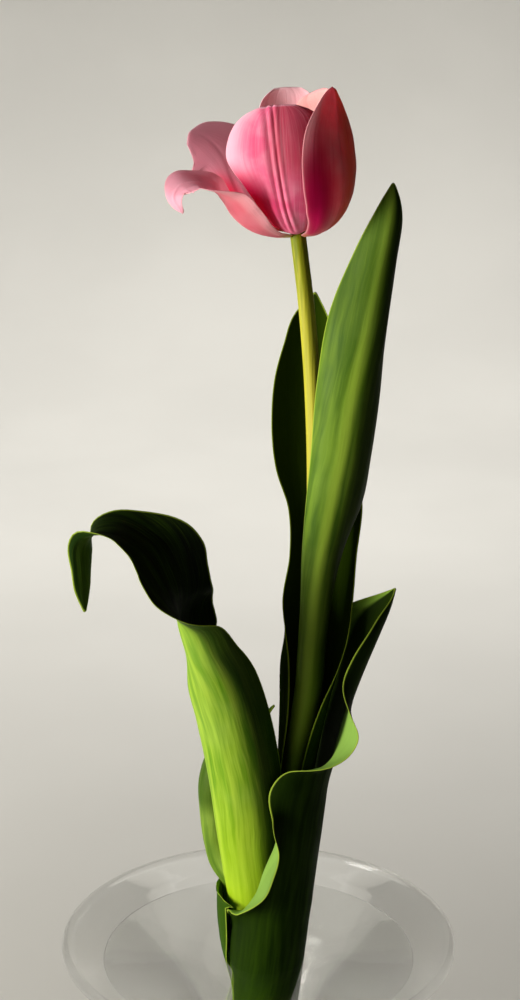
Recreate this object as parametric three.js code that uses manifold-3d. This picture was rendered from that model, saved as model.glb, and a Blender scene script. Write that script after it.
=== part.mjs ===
// A single cut tulip standing in a flared glass vase of water.
// Millimetres, +Z up. The origin is the middle of the vase's flat underside, and -Y is the front.

import * as THREE from 'three';
import { mergeVertices } from 'three/addons/utils/BufferGeometryUtils.js';
import Module from 'manifold-3d';

const wasm = await Module();
wasm.setup();

// ---------------------------------------------------------------- driving dimensions

const RIM_HEIGHT = 150; // top of the vase
const RIM_RADIUS = 92.3; // outside of the rounded lip
const LIP_THICKNESS = 5;
const FOOT_RADIUS = 46;
const WALL = 3.5;
const FLOOR_HEIGHT = 14; // inside floor of the vase, over solid glass
const WATER_HEIGHT = 139;
const GAP = 0.3; // clearance between touching pieces

const STEM_RADIUS_FOOT = 4.3;
const STEM_RADIUS_TOP = 3.4;
const LEAF_THICKNESS = 1.1;
const PETAL_THICKNESS = 0.8;
const BLADE_EDGE = 0.62; // thickness of a leaf or petal at its margin, at the least

const BLOOM_LEAN = 4; // degrees that the bloom leans to the left
const STAMEN_COUNT = 6;

const UP = new THREE.Vector3(0, 0, 1);
const deg = THREE.MathUtils.degToRad;
const parts = new THREE.Group();

const LEAF = { color: 0x5f8f35, roughness: 0.55 };
const PETAL = { color: 0xd9618f, roughness: 0.6 };

function addMesh(name, geometry, look) {
  const mesh = new THREE.Mesh(geometry, new THREE.MeshStandardMaterial(look));
  mesh.name = name;
  parts.add(mesh);
  return mesh;
}

// ---------------------------------------------------------------- smooth tracks

// The slope at each knot is the mean of its two spans' slopes, each weighted by the other span.
function slopeAt(knots, rows, i, column) {
  const step = (k) => (rows[k + 1][column] - rows[k][column]) / (knots[k + 1] - knots[k]);
  if (i === 0) return step(0);
  if (i === rows.length - 1) return step(i - 1);
  const before = knots[i] - knots[i - 1];
  const after = knots[i + 1] - knots[i];
  return (step(i - 1) * after + step(i) * before) / (before + after);
}

// A cubic track through the rows of numbers, as a function of u from 0 to 1.
function smoothTrack(knots, rows) {
  const slopes = rows.map((row, i) => row.map((_, column) => slopeAt(knots, rows, i, column)));
  return (u) => {
    let i = 0;
    while (i < knots.length - 2 && u > knots[i + 1]) i += 1;
    const span = knots[i + 1] - knots[i];
    const t = (u - knots[i]) / span;
    const rise = t * t * (3 - 2 * t);
    const leave = t * (1 - t) * (1 - t) * span;
    const arrive = t * t * (t - 1) * span;
    return rows[i].map((value, c) => value + rise * (rows[i + 1][c] - value)
      + leave * slopes[i][c] + arrive * slopes[i + 1][c]);
  };
}

const NUDGE = 1e-3; // step along a track over which its direction is taken

// The direction of a track at u, whose first three numbers are a point.
function heading(track, u) {
  const ahead = new THREE.Vector3(...track(Math.min(1, u + NUDGE)));
  const behind = new THREE.Vector3(...track(Math.max(0, u - NUDGE)));
  return ahead.sub(behind).normalize();
}

// Knots from 0 to 1 in proportion to the distance between the rows' first three numbers.
function lengthKnots(rows) {
  const knots = [0];
  for (let i = 1; i < rows.length; i += 1) {
    const [a, b] = [rows[i - 1], rows[i]];
    knots.push(knots[i - 1] + Math.hypot(b[0] - a[0], b[1] - a[1], b[2] - a[2]));
  }
  return knots.map((k) => k / knots[knots.length - 1]);
}

// ---------------------------------------------------------------- leaf and petal blades

// A station of a blade holds, for one place on its midrib:
//   at    the midrib's point
//   back  the way that the outer (lower) face looks
//   half  the widths of the left and right halves, seen from outside with the tip up
//   cup   how far each half turns inward by its margin, in degrees, evenly
//   roll  how far its outer part turns further, in degrees (negative rolls it outward)
const stationRow = ({ at, back, half, cup, roll = [0, 0] }) => [
  ...at, ...back, ...half, ...cup.map(deg), ...roll.map(deg)];

const SECTION_STEPS = 24;
const ROLL_START = 0.6; // share of a half's width where its roll begins

// The offsets from the midrib across one half, as [along the side, inward] pairs.
function halfSection(width, cup, roll, cells) {
  const points = [];
  let side = 0;
  let inward = 0;
  for (let k = 0; k <= SECTION_STEPS; k += 1) {
    if (k % (SECTION_STEPS / cells) === 0) points.push([side, inward]);
    const s = (k + 0.5) / SECTION_STEPS;
    const turn = cup * s + roll * THREE.MathUtils.smoothstep(s, ROLL_START, 1);
    side += (width / SECTION_STEPS) * Math.cos(turn);
    inward += (width / SECTION_STEPS) * Math.sin(turn);
  }
  return points;
}

// A closed blade over the stations, with the given number of rows from each to the next and of
// cells across each half.
function bladeGeometry(stations, { rows, cells, thickness }) {
  const list = stations.map(stationRow);
  const knots = lengthKnots(list);
  const track = smoothTrack(knots, list);
  const middle = [];
  for (let i = 0; i <= rows * (knots.length - 1); i += 1) {
    const before = Math.min(Math.floor(i / rows), knots.length - 2);
    const u = knots[before] + (i / rows - before) * (knots[before + 1] - knots[before]);
    const here = track(u);
    const tip = heading(track, u);
    const back = new THREE.Vector3(...here.slice(3, 6));
    back.addScaledVector(tip, -back.dot(tip)).normalize();
    const right = new THREE.Vector3().crossVectors(tip, back);
    const place = ([side, inward], sign) => new THREE.Vector3(...here)
      .addScaledVector(right, sign * side).addScaledVector(back, -inward);
    const [leftWidth, rightWidth, leftCup, rightCup, leftRoll, rightRoll] = here.slice(6);
    const left = halfSection(leftWidth, leftCup, leftRoll, cells).map((p) => place(p, -1));
    const rightHalf = halfSection(rightWidth, rightCup, rightRoll, cells).map((p) => place(p, 1));
    middle.push([...left.reverse(), ...rightHalf.slice(1)]);
  }
  return thickSheet(middle, thickness);
}

// Thickens a grid of points, whose rows run left to right and rise to the tip, both ways.
function thickSheet(grid, thickness) {
  const rows = grid.length - 1;
  const columns = grid[0].length - 1;
  const near = (value, top) => Math.min(top, Math.max(0, value));
  const outer = [];
  const inner = [];
  for (let i = 0; i <= rows; i += 1) {
    for (let j = 0; j <= columns; j += 1) {
      const along = grid[near(i + 1, rows)][j].clone().sub(grid[near(i - 1, rows)][j]);
      const across = grid[i][near(j + 1, columns)].clone().sub(grid[i][near(j - 1, columns)]);
      const normal = across.cross(along).normalize();
      const margin = Math.abs(j / columns - 0.5) * 2;
      const depth = thickness + (BLADE_EDGE - thickness) * margin * margin;
      outer.push(grid[i][j].clone().addScaledVector(normal, depth / 2));
      inner.push(grid[i][j].clone().addScaledVector(normal, -depth / 2));
    }
  }
  const corners = [...outer, ...inner].flatMap((p) => [p.x, p.y, p.z]);
  const out = (i, j) => i * (columns + 1) + j;
  const back = (i, j) => out(i, j) + outer.length;
  const faces = [];
  const quad = (a, b, c, d) => faces.push(a, b, c, a, c, d);
  for (let i = 0; i < rows; i += 1) {
    for (let j = 0; j < columns; j += 1) {
      quad(out(i, j), out(i, j + 1), out(i + 1, j + 1), out(i + 1, j));
      faces.push(back(i, j), back(i + 1, j + 1), back(i, j + 1));
      faces.push(back(i, j), back(i + 1, j), back(i + 1, j + 1));
    }
    quad(back(i, 0), out(i, 0), out(i + 1, 0), back(i + 1, 0));
    quad(out(i, columns), back(i, columns), back(i + 1, columns), out(i + 1, columns));
  }
  for (let j = 0; j < columns; j += 1) {
    quad(back(0, j), back(0, j + 1), out(0, j + 1), out(0, j));
    quad(out(rows, j), out(rows, j + 1), back(rows, j + 1), back(rows, j));
  }
  const geometry = new THREE.BufferGeometry();
  geometry.setAttribute('position', new THREE.Float32BufferAttribute(corners, 3));
  geometry.setIndex(faces);
  return geometry;
}

// ---------------------------------------------------------------- vase

// The cavity's radius at a few heights: a narrow throat that holds the stem, then a wide flare.
const CAVITY = [
  [FLOOR_HEIGHT, 18], [20, 22.5], [32, 24], [50, 23], [70, 22.5], [90, 27], [108, 35],
  [122, 46], [133, 62], [141, 76], [RIM_HEIGHT - LIP_THICKNESS / 2, RIM_RADIUS - LIP_THICKNESS],
];

const cavityTrack = smoothTrack(
  CAVITY.map(([z]) => (z - FLOOR_HEIGHT) / (CAVITY[CAVITY.length - 1][0] - FLOOR_HEIGHT)),
  CAVITY.map(([, radius]) => [radius]));

function cavityRadius(z) {
  const top = RIM_HEIGHT - LIP_THICKNESS / 2;
  return cavityTrack((z - FLOOR_HEIGHT) / (top - FLOOR_HEIGHT))[0];
}

function turned(points, segments) {
  const geometry = new THREE.LatheGeometry(points.map((p) => new THREE.Vector2(...p)), segments);
  geometry.deleteAttribute('normal');
  geometry.deleteAttribute('uv');
  return mergeVertices(geometry.rotateX(Math.PI / 2));
}

const VASE_SEGMENTS = 40;
const FLOOR_RADIUS = 16;
const WALL_HEIGHTS = [17, 22, 32, 50, 70, 86, 98, 108, 117, 125, 132, 138]; // of the inner wall

function vaseProfile() {
  const outside = [
    [0, 0], [FOOT_RADIUS - 2, 0], [FOOT_RADIUS, 2], [FOOT_RADIUS, 4.5], [FOOT_RADIUS - 3, 7.5],
    [36, 12], [30.5, 19], [28, 30], [27, 45], [26.3, 60], [26.8, 75], [29.5, 88],
  ];
  const flare = [98, 108, 117, 125, 132, 138, 142];
  for (const z of flare) outside.push([cavityRadius(z) + WALL, z - WALL * 0.35]);
  const lip = LIP_THICKNESS / 2;
  for (let k = 0; k <= 5; k += 1) {
    const turn = deg(-60 + 48 * k);
    outside.push([RIM_RADIUS - lip + lip * Math.cos(turn), RIM_HEIGHT - lip + lip * Math.sin(turn)]);
  }
  const inside = [...WALL_HEIGHTS, 142, 145].reverse().map((z) => [cavityRadius(z), z]);
  return [...outside, ...inside, [FLOOR_RADIUS, FLOOR_HEIGHT], [0, FLOOR_HEIGHT]];
}

function addVase() {
  addMesh('vase', turned(vaseProfile(), VASE_SEGMENTS), {
    color: 0xdfeaf0, roughness: 0.05, transparent: true, opacity: 0.35 });
}

// ---------------------------------------------------------------- round lofts

// A closed solid through rings of points that run counterclockwise seen from the last ring.
function loftGeometry(rings) {
  const sides = rings[0].length;
  const corners = rings.flat().flatMap((p) => [p.x, p.y, p.z]);
  const faces = [];
  for (let i = 0; i < rings.length - 1; i += 1) {
    for (let j = 0; j < sides; j += 1) {
      const [a, b] = [i * sides + j, i * sides + ((j + 1) % sides)];
      faces.push(a, b, b + sides, a, b + sides, a + sides);
    }
  }
  const addCap = (ring, first, outward) => {
    const middle = ring.reduce((sum, p) => sum.add(p), new THREE.Vector3()).divideScalar(sides);
    const centre = corners.length / 3;
    corners.push(middle.x, middle.y, middle.z);
    for (let j = 0; j < sides; j += 1) {
      const [a, b] = [first + j, first + ((j + 1) % sides)];
      faces.push(...(outward ? [a, b, centre] : [b, a, centre]));
    }
  };
  addCap(rings[0], 0, false);
  addCap(rings[rings.length - 1], (rings.length - 1) * sides, true);
  const geometry = new THREE.BufferGeometry();
  geometry.setAttribute('position', new THREE.Float32BufferAttribute(corners, 3));
  geometry.setIndex(faces);
  return geometry;
}

// A ring of points around a centre, square to the axis; shape(turn) gives each point's radius.
function ring(centre, axis, sides, shape) {
  const up = axis.clone().normalize();
  const side = new THREE.Vector3(1, 0, 0).addScaledVector(up, -up.x).normalize();
  const other = new THREE.Vector3().crossVectors(up, side);
  return Array.from({ length: sides }, (_, j) => {
    const turn = (2 * Math.PI * j) / sides;
    const radius = shape(turn);
    return centre.clone().addScaledVector(side, radius * Math.cos(turn))
      .addScaledVector(other, radius * Math.sin(turn));
  });
}

// ---------------------------------------------------------------- stem

// The stem's middle line, from the cut foot to the bloom.
const STEM_FOOT = [-7.5, 1, FLOOR_HEIGHT + GAP];
const BLOOM_BASE = [16.8, 0, 476.8];
const STEM_LINE = [
  STEM_FOOT, [-3.2, 0.5, 65], [3.1, 0, 120], [6.8, 0, 156], [10.7, 0, 190], [16, 0, 228],
  [21.4, 0, 264], [24, 0, 298], [24.6, 0, 332], [24.8, 0, 368], [23.3, 0, 412], [20.2, 0, 450],
  BLOOM_BASE,
];
const RECEPTACLE = 3; // the stem's blunt end rises this far into the bloom
const STEM_ROWS = 34;
const STEM_SIDES = 10;

const stemTrack = smoothTrack(lengthKnots(STEM_LINE), STEM_LINE);

// The stem's middle at a height.
function stemAt(z) {
  let [low, high] = [0, 1];
  for (let k = 0; k < 30; k += 1) {
    const u = (low + high) / 2;
    if (stemTrack(u)[2] < z) low = u;
    else high = u;
  }
  return stemTrack(low);
}

function addStem() {
  const rings = [];
  for (let i = 0; i <= STEM_ROWS; i += 1) {
    const u = i / STEM_ROWS;
    const axis = i === 0 ? UP : heading(stemTrack, u);
    const radius = STEM_RADIUS_FOOT + (STEM_RADIUS_TOP - STEM_RADIUS_FOOT) * u;
    rings.push(ring(new THREE.Vector3(...stemTrack(u)), axis, STEM_SIDES, () => radius));
  }
  const lean = deg(BLOOM_LEAN);
  const axis = new THREE.Vector3(-Math.sin(lean), 0, Math.cos(lean));
  const top = new THREE.Vector3(...BLOOM_BASE).addScaledVector(axis, RECEPTACLE);
  rings.push(ring(top, axis, STEM_SIDES, () => STEM_RADIUS_TOP - 1));
  addMesh('stem', loftGeometry(rings), { color: 0xa8b24a, roughness: 0.5 });
}

// ---------------------------------------------------------------- leaves

// A station of a leaf's sheath: an arc of the given radius around the stem at a height.
// azimuth is where its midrib lies, and wrap how far it reaches round to each side, in degrees.
function sheath(z, radius, azimuth, wrap) {
  const [x, y] = stemAt(z);
  const back = [Math.cos(deg(azimuth)), Math.sin(deg(azimuth)), 0];
  return {
    at: [x + radius * back[0], y + radius * back[1], z],
    back,
    half: wrap.map((turn) => radius * deg(turn)),
    cup: wrap,
  };
}

function addLeaf(name, stations, rows = 2, cells = 4) {
  addMesh(name, bladeGeometry(stations, { rows, cells, thickness: LEAF_THICKNESS }), LEAF);
}

// The tall upright leaf at the right, rolled round the stem low down and open toward its tip.
function addTallLeaf() {
  addLeaf('leaf_tall', [
    sheath(98, 5.5, 255, [140, 140]),
    sheath(165, 5.6, 253, [138, 138]),
    sheath(230, 5.6, 250, [132, 130]),
    { at: [20.8, -5.3, 272], back: [-0.3, -1, 0], half: [12.5, 13.5], cup: [122, 125] },
    { at: [23.4, -6, 302], back: [-0.15, -1, 0], half: [10.5, 13.5], cup: [105, 118] },
    { at: [27.2, -8, 336], back: [0, -1, 0], half: [11.3, 15], cup: [80, 90] },
    { at: [32, -10.5, 365], back: [0, -1, 0], half: [13.3, 19], cup: [62, 72] },
    { at: [35.6, -11.8, 383], back: [0, -1, 0], half: [15.2, 18.5], cup: [56, 76] },
    { at: [40.2, -12.6, 413], back: [-0.05, -1, 0], half: [17.7, 18], cup: [50, 86] },
    { at: [46.5, -12, 443], back: [-0.1, -1, 0], half: [18.7, 15.5], cup: [42, 112] },
    { at: [51.5, -9.8, 468], back: [-0.1, -1, 0], half: [13.3, 10.8], cup: [38, 100] },
    { at: [55, -7.2, 486], back: [-0.1, -1, 0], half: [7.6, 7], cup: [35, 75] },
    { at: [56, -5.5, 494], back: [-0.1, -1, 0], half: [4, 3.4], cup: [30, 45] },
    { at: [56.3, -4.2, 499.5], back: [-0.1, -1, 0], half: [0.7, 0.7], cup: [20, 20] },
  ]);
}

// The dark leaf behind the stem, whose hollow face looks to the front.
function addBackLeaf() {
  addLeaf('leaf_back', [
    sheath(80, 7.6, 70, [146, 146]),
    sheath(150, 7.8, 70, [146, 146]),
    sheath(205, 8, 70, [146, 146]),
    sheath(236, 8.4, 72, [146, 144]),
    { at: [22.3, 9.8, 262], back: [0.2, 1, 0], half: [24, 25.5], cup: [132, 138], roll: [0, 20] },
    { at: [24.5, 12.3, 283], back: [0.1, 1, 0], half: [22.5, 24.5], cup: [100, 95], roll: [0, 70] },
    { at: [26, 13.2, 299], back: [0, 1, 0], half: [21.5, 21.5], cup: [85, 78], roll: [0, 20] },
    { at: [26.8, 13.8, 312], back: [0, 1, 0], half: [20, 20], cup: [70, 65] },
    { at: [28, 14.2, 332], back: [0, 1, 0], half: [18.5, 16.3], cup: [55, 52] },
    { at: [27, 15, 356], back: [0.05, 1, 0], half: [22.3, 15], cup: [50, 44] },
    { at: [25.5, 15.2, 375], back: [0.05, 1, 0], half: [21, 19.5], cup: [48, 45] },
    { at: [24.5, 15, 398], back: [0, 1, 0], half: [19, 20.5], cup: [48, 42] },
    { at: [24, 14, 416], back: [0, 1, 0], half: [16, 18.3], cup: [46, 42] },
    { at: [24, 12.8, 430], back: [0, 1, 0], half: [11.5, 14], cup: [42, 40] },
    { at: [24.2, 11.4, 442], back: [0, 1, 0], half: [6.2, 9.5], cup: [35, 35] },
    { at: [24.5, 10.3, 451.5], back: [0, 1, 0], half: [0.7, 0.7], cup: [20, 20] },
  ]);
}

// The leaf that arches out to the left, turns over and hangs by its tip.
function addCurledLeaf() {
  addLeaf('leaf_curled', [
    sheath(46, 9.8, 235, [128, 128]),
    sheath(100, 10.4, 235, [120, 120]),
    { at: [-2, -9.8, 135], back: [-0.57, -0.82, 0], half: [18, 22], cup: [88, 105] },
    { at: [-6, -12.8, 165], back: [-0.52, -0.85, 0], half: [17.5, 23.5], cup: [68, 92] },
    { at: [-9.8, -16.5, 200], back: [-0.5, -0.86, 0], half: [20, 26], cup: [64, 90] },
    { at: [-13.8, -20, 237], back: [-0.5, -0.86, 0], half: [21, 27.7], cup: [62, 92] },
    { at: [-18.5, -22, 262], back: [-0.52, -0.85, 0], half: [20.5, 27.9], cup: [60, 92] },
    { at: [-23.8, -23.5, 281], back: [-0.6, -0.8, 0], half: [20.5, 27], cup: [62, 91] },
    { at: [-29.2, -25, 297], back: [-0.84, -0.53, 0], half: [31, 24.5], cup: [115, 100] },
    { at: [-33.4, -26.2, 311], back: [-0.92, -0.4, -0.1], half: [30.5, 20.8], cup: [112, 80] },
    { at: [-36.3, -27.4, 321], back: [-0.95, 0.15, -0.25], half: [24, 19], cup: [84, 45] },
    { at: [-38.7, -28.2, 330], back: [-0.78, 0.45, -0.35], half: [22.5, 18.5], cup: [58, 26] },
    { at: [-41.8, -28.8, 338], back: [-0.6, 0.6, -0.45], half: [23.5, 16.3], cup: [50, 25] },
    { at: [-44.8, -29, 344], back: [-0.45, 0.65, -0.5], half: [22, 14], cup: [46, 26] },
    { at: [-53, -29.5, 352.5], back: [-0.3, 0.5, -0.75], half: [14.5, 13.2], cup: [38, 30] },
    { at: [-61.5, -30, 356.5], back: [-0.1, 0.35, -0.9], half: [10.5, 12], cup: [34, 30] },
    { at: [-68.3, -31, 356], back: [0.4, 0.1, -0.85], half: [8.5, 10.5], cup: [34, 30] },
    { at: [-74.6, -32, 350.5], back: [0.55, -0.8, -0.3], half: [7.5, 6.6], cup: [34, 32] },
    { at: [-75.2, -33, 340], back: [0.6, -0.8, -0.1], half: [6, 4.6], cup: [32, 32] },
    { at: [-74.6, -33.5, 331], back: [0.6, -0.8, 0.1], half: [4, 4], cup: [28, 28] },
    { at: [-74.2, -34, 321.5], back: [0.6, -0.8, 0.2], half: [0.8, 0.8], cup: [20, 20] },
  ]);
}

// The broad lowest leaf, which clasps the others and opens to the left with a waved margin.
function addClaspingLeaf() {
  addLeaf('leaf_clasping', [
    sheath(30, 12.8, 350, [150, 180]),
    sheath(80, 14.4, 350, [152, 182]),
    sheath(118, 15.8, 350, [150, 190]),
    { at: [21.8, -4, 148], back: [1, -0.17, 0], half: [52.1, 80.2], cup: [155.7, 225.2] },
    { at: [23.6, -4, 164], back: [1, -0.17, 0], half: [46.8, 86], cup: [142.6, 226], roll: [-40, 0] },
    { at: [24.2, -4, 168], back: [1, -0.17, 0], half: [45.6, 86.6], cup: [141, 224], roll: [-88, 0] },
    { at: [24.4, -4, 169.8], back: [1, -0.17, 0], half: [46, 63.5], cup: [140, 160], roll: [-106, 0] },
    { at: [24.6, -4, 172], back: [1, -0.17, 0], half: [46, 50], cup: [137, 126], roll: [-125, 0] },
    { at: [25.5, -4, 180], back: [1, -0.17, 0], half: [44.5, 40], cup: [130, 114], roll: [-175, 0] },
    { at: [26.8, -4, 191], back: [1, -0.17, 0], half: [43, 36], cup: [122, 110], roll: [-185, 0] },
    { at: [28.6, -4, 205], back: [1, -0.17, 0], half: [38.5, 33], cup: [106, 98], roll: [-140, 0] },
    { at: [29.9, -4, 216], back: [1, -0.17, 0], half: [34, 32], cup: [94, 92], roll: [-50, 0] },
    { at: [31.6, -4, 229], back: [1, -0.17, 0], half: [35, 31], cup: [93, 88] },
    { at: [33.8, -4, 238], back: [1, -0.17, 0], half: [28, 30], cup: [70, 86] },
    { at: [35.4, -4, 245], back: [1, -0.17, 0], half: [24, 29], cup: [0, 86] },
    { at: [37.4, -4, 253], back: [1, -0.17, 0], half: [21, 28], cup: [-45, 90] },
    { at: [39.8, -4, 262], back: [1, -0.17, -0.1], half: [21, 27], cup: [-45, 95] },
    { at: [42.4, -4, 270], back: [1, -0.1, -0.1], half: [18, 25.5], cup: [5, 90] },
    { at: [45, -4, 278], back: [1, 0, -0.2], half: [17, 26], cup: [60, 86] },
    { at: [49, -3.7, 289], back: [1, 0.1, -0.3], half: [16, 26], cup: [80, 84] },
    { at: [54, -3.3, 302], back: [1, 0.2, -0.3], half: [12.5, 23], cup: [80, 78] },
    { at: [58, -2.7, 312], back: [1, 0.2, -0.3], half: [8, 13], cup: [70, 84] },
    { at: [60.8, -2, 321], back: [1, 0.2, -0.3], half: [0.8, 0.8], cup: [30, 30] },
  ], 2, 8);
}

// The short leaf at the left, between the clasping leaf and the curled one.
function addShortLeaf() {
  addLeaf('leaf_short', [
    sheath(60, 11.9, 175, [85, 62]),
    sheath(100, 12.6, 175, [85, 60]),
    { at: [-10.3, 1, 130], back: [-1, 0.05, 0], half: [17, 12], cup: [85, 58] },
    { at: [-14.3, 4.2, 153], back: [-1, 0.05, 0], half: [12, 4], cup: [76, 28] },
    { at: [-16.1, 5, 166], back: [-0.92, -0.38, 0], half: [1.6, 3.6], cup: [40, 14] },
    { at: [-16.4, 4.9, 173.5], back: [-0.92, -0.38, 0], half: [1.5, 3.6], cup: [40, 14] },
    { at: [-19, 5.8, 177], back: [-0.9, -0.43, 0], half: [2.4, 6], cup: [44, 18] },
    { at: [-22, 8, 181.5], back: [-0.87, -0.5, 0], half: [5, 9], cup: [50, 42] },
    { at: [-24.1, 9.4, 190], back: [-0.87, -0.5, 0], half: [7.5, 11], cup: [50, 84] },
    { at: [-26, 10.5, 207], back: [-0.85, -0.5, 0.1], half: [11, 12], cup: [62, 95] },
    { at: [-26.4, 10.5, 221], back: [-0.85, -0.45, 0.2], half: [11, 12], cup: [58, 90] },
    { at: [-22, 11.5, 237], back: [-0.75, -0.2, 0.6], half: [12, 10.5], cup: [48, 75] },
    { at: [-14, 11, 247.5], back: [-0.6, 0, 0.8], half: [9.5, 9], cup: [40, 45] },
    { at: [-1.5, 9.8, 252.5], back: [-0.6, 0, 0.8], half: [8, 7.5], cup: [30, 30] },
    { at: [7.2, 8.5, 261], back: [-0.8, 0, 0.5], half: [0.8, 0.8], cup: [20, 20] },
  ]);
}

// ---------------------------------------------------------------- bloom

const bloom = new THREE.Group();
bloom.position.set(...BLOOM_BASE);
bloom.rotation.y = deg(-BLOOM_LEAN);
parts.add(bloom);

function addPetal(name, stations) {
  const geometry = bladeGeometry(stations, { rows: 2, cells: 4, thickness: PETAL_THICKNESS });
  const mesh = addMesh(name, geometry, PETAL);
  bloom.add(mesh);
}

// A station of a petal that follows the cup, in the bloom's own frame.
function cupStation(azimuth, [radius, height], half, cup) {
  const [c, s] = [Math.cos(deg(azimuth)), Math.sin(deg(azimuth))];
  return { at: [radius * c, radius * s, height], back: [c, s, height < 10 ? -1.5 : -0.1], half, cup };
}

function addPetals() {
  addPetal('tepal_outer_right', [
    cupStation(322, [4.2, 0.5], [3.2, 3.2], [35, 35]),
    cupStation(321, [11, 1.6], [7.5, 7.5], [40, 40]),
    cupStation(320, [18.5, 6], [12.5, 12], [45, 45]),
    cupStation(319, [23.8, 14], [17, 15], [40, 42]),
    cupStation(319, [26, 24], [19.5, 16.5], [38, 40]),
    cupStation(319, [26.2, 35], [19.5, 16.5], [36, 38]),
    cupStation(319, [25.4, 45], [16.5, 14.5], [34, 36]),
    cupStation(321, [24.4, 53.5], [10.5, 10], [32, 34]),
    cupStation(324, [23, 59], [4.8, 5], [25, 25]),
    cupStation(326, [22.2, 61], [1.5, 1.5], [10, 10]),
  ]);
  addPetal('tepal_outer_back', [
    cupStation(94, [4.2, 0.5], [3.2, 3.2], [35, 35]),
    cupStation(94, [11, 1.6], [7.5, 7.5], [40, 40]),
    cupStation(94, [18.5, 6], [12, 12], [45, 45]),
    cupStation(93, [24, 14], [16, 12], [42, 40]),
    cupStation(93, [26.4, 24], [18.5, 12.5], [40, 38]),
    cupStation(94, [26.4, 36], [18.5, 13], [38, 36]),
    cupStation(95, [24.6, 47], [17, 13], [36, 34]),
    cupStation(97, [21.8, 55], [14, 11], [34, 30]),
    cupStation(97, [19.6, 59.5], [11, 7], [25, 20]),
    cupStation(97, [19, 61], [8, 4], [15, 10]),
  ]);
  addPetal('tepal_outer_left', [
    { at: [-3.85, -1.7, 0.5], back: [-0.3, -0.2, -1], half: [3.2, 3.2], cup: [35, 35] },
    { at: [-11, -5, 1.6], back: [-0.3, -0.2, -1], half: [7.5, 7.5], cup: [35, 35] },
    { at: [-18, -8.5, 4.6], back: [-0.5, -0.3, -0.8], half: [12, 12], cup: [42, 40] },
    { at: [-24.5, -11.5, 11], back: [-0.7, -0.4, -0.5], half: [17, 14.5], cup: [52, 40] },
    { at: [-29.5, -13.5, 18.5], back: [-0.7, -0.3, -0.5], half: [17, 15.5], cup: [62, 32] },
    { at: [-35, -14.5, 24.7], back: [-0.5, 0.08, -0.9], half: [12.5, 14.5], cup: [36, 14] },
    { at: [-41, -15, 27.3], back: [-0.14, 0.24, -1], half: [10.5, 13], cup: [12, 12] },
    { at: [-47, -16.5, 26.3], back: [0.4, 0.5, -0.66], half: [9.5, 11], cup: [10, 15] },
    { at: [-49.8, -18.5, 22.3], back: [0.5, 0.6, -0.3], half: [4, 8], cup: [15, 18] },
    { at: [-48.6, -20, 18.5], back: [0.6, 0.6, 0.1], half: [2.4, 4.5], cup: [15, 15] },
    { at: [-46.4, -21, 16], back: [0.6, 0.6, 0.3], half: [0.8, 0.8], cup: [10, 10] },
  ]);
  addPetal('tepal_inner_front', [
    cupStation(262, [3.5, 2], [2.6, 2.6], [35, 35]),
    cupStation(262, [10, 3.2], [7, 7], [40, 40]),
    cupStation(261, [16.5, 8], [12.5, 13], [48, 48]),
    cupStation(260, [21.3, 15.5], [17.5, 18], [50, 52]),
    cupStation(260, [23.6, 22.5], [21, 21.5], [48, 55]),
    cupStation(260, [24.4, 29.5], [25.5, 23], [45, 55]),
    cupStation(260, [24.4, 35.5], [28, 23.5], [44, 55]),
    cupStation(260, [23.4, 43], [27.5, 22], [44, 52]),
    cupStation(260, [22, 49], [24.8, 18.5], [42, 45]),
    cupStation(260, [21.1, 52.4], [21, 15.5], [38, 38]),
    cupStation(260, [20.4, 54.7], [15.5, 11], [30, 30]),
    cupStation(260, [20, 56], [9, 6], [18, 15]),
  ]);
  addPetal('tepal_inner_right', [
    cupStation(36, [3.5, 2], [2.6, 2.6], [35, 35]),
    cupStation(36, [10, 3.2], [7, 7], [40, 40]),
    cupStation(36, [16.5, 8], [12.5, 12.5], [48, 48]),
    cupStation(36, [21.5, 15.5], [17, 17], [50, 50]),
    cupStation(36, [24, 25], [20, 20], [52, 52]),
    cupStation(37, [24.2, 36], [20.5, 19.5], [50, 50]),
    cupStation(39, [22.8, 46], [18, 17], [46, 46]),
    cupStation(43, [20, 54.5], [12.5, 14], [40, 40]),
    cupStation(46, [18.2, 58], [8, 11.5], [25, 25]),
    cupStation(47, [17.8, 59.2], [4, 8], [10, 15]),
  ]);
  addPetal('tepal_inner_left', [
    { at: [-3.1, 1.65, 2], back: [-0.3, 0.2, -1], half: [2.6, 2.6], cup: [35, 35] },
    { at: [-9, 4.4, 3.8], back: [-0.3, 0.2, -1], half: [6.5, 7], cup: [40, 40] },
    { at: [-16.5, 8.5, 8], back: [-0.6, 0.3, -0.8], half: [9.5, 11], cup: [45, 48] },
    { at: [-24, 12.3, 15.5], back: [-0.8, 0.4, -0.4], half: [12, 8.5], cup: [45, 40] },
    { at: [-28.3, 14, 24.5], back: [-0.7, 0.6, -0.4], half: [14, 12], cup: [38, 34] },
    { at: [-32.5, 15.5, 34.5], back: [-0.6, 0.7, -0.4], half: [19, 19], cup: [32, 25] },
    { at: [-38.2, 15, 40.5], back: [-0.5, 0.7, -0.5], half: [11.5, 16.5], cup: [25, 18] },
    { at: [-43.8, 13.5, 43.3], back: [-0.4, 0.7, -0.6], half: [3, 3.5], cup: [10, 10] },
  ]);
}

const PISTIL_SIDES = 12;
const STAMEN_SIDES = 8;
const STAMEN_CIRCLE = 2.82; // how far from the bloom's middle the stamens would start at its base
const STAMEN_SPREAD = 0.19; // how far they lean out, for each millimetre that they rise

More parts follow.
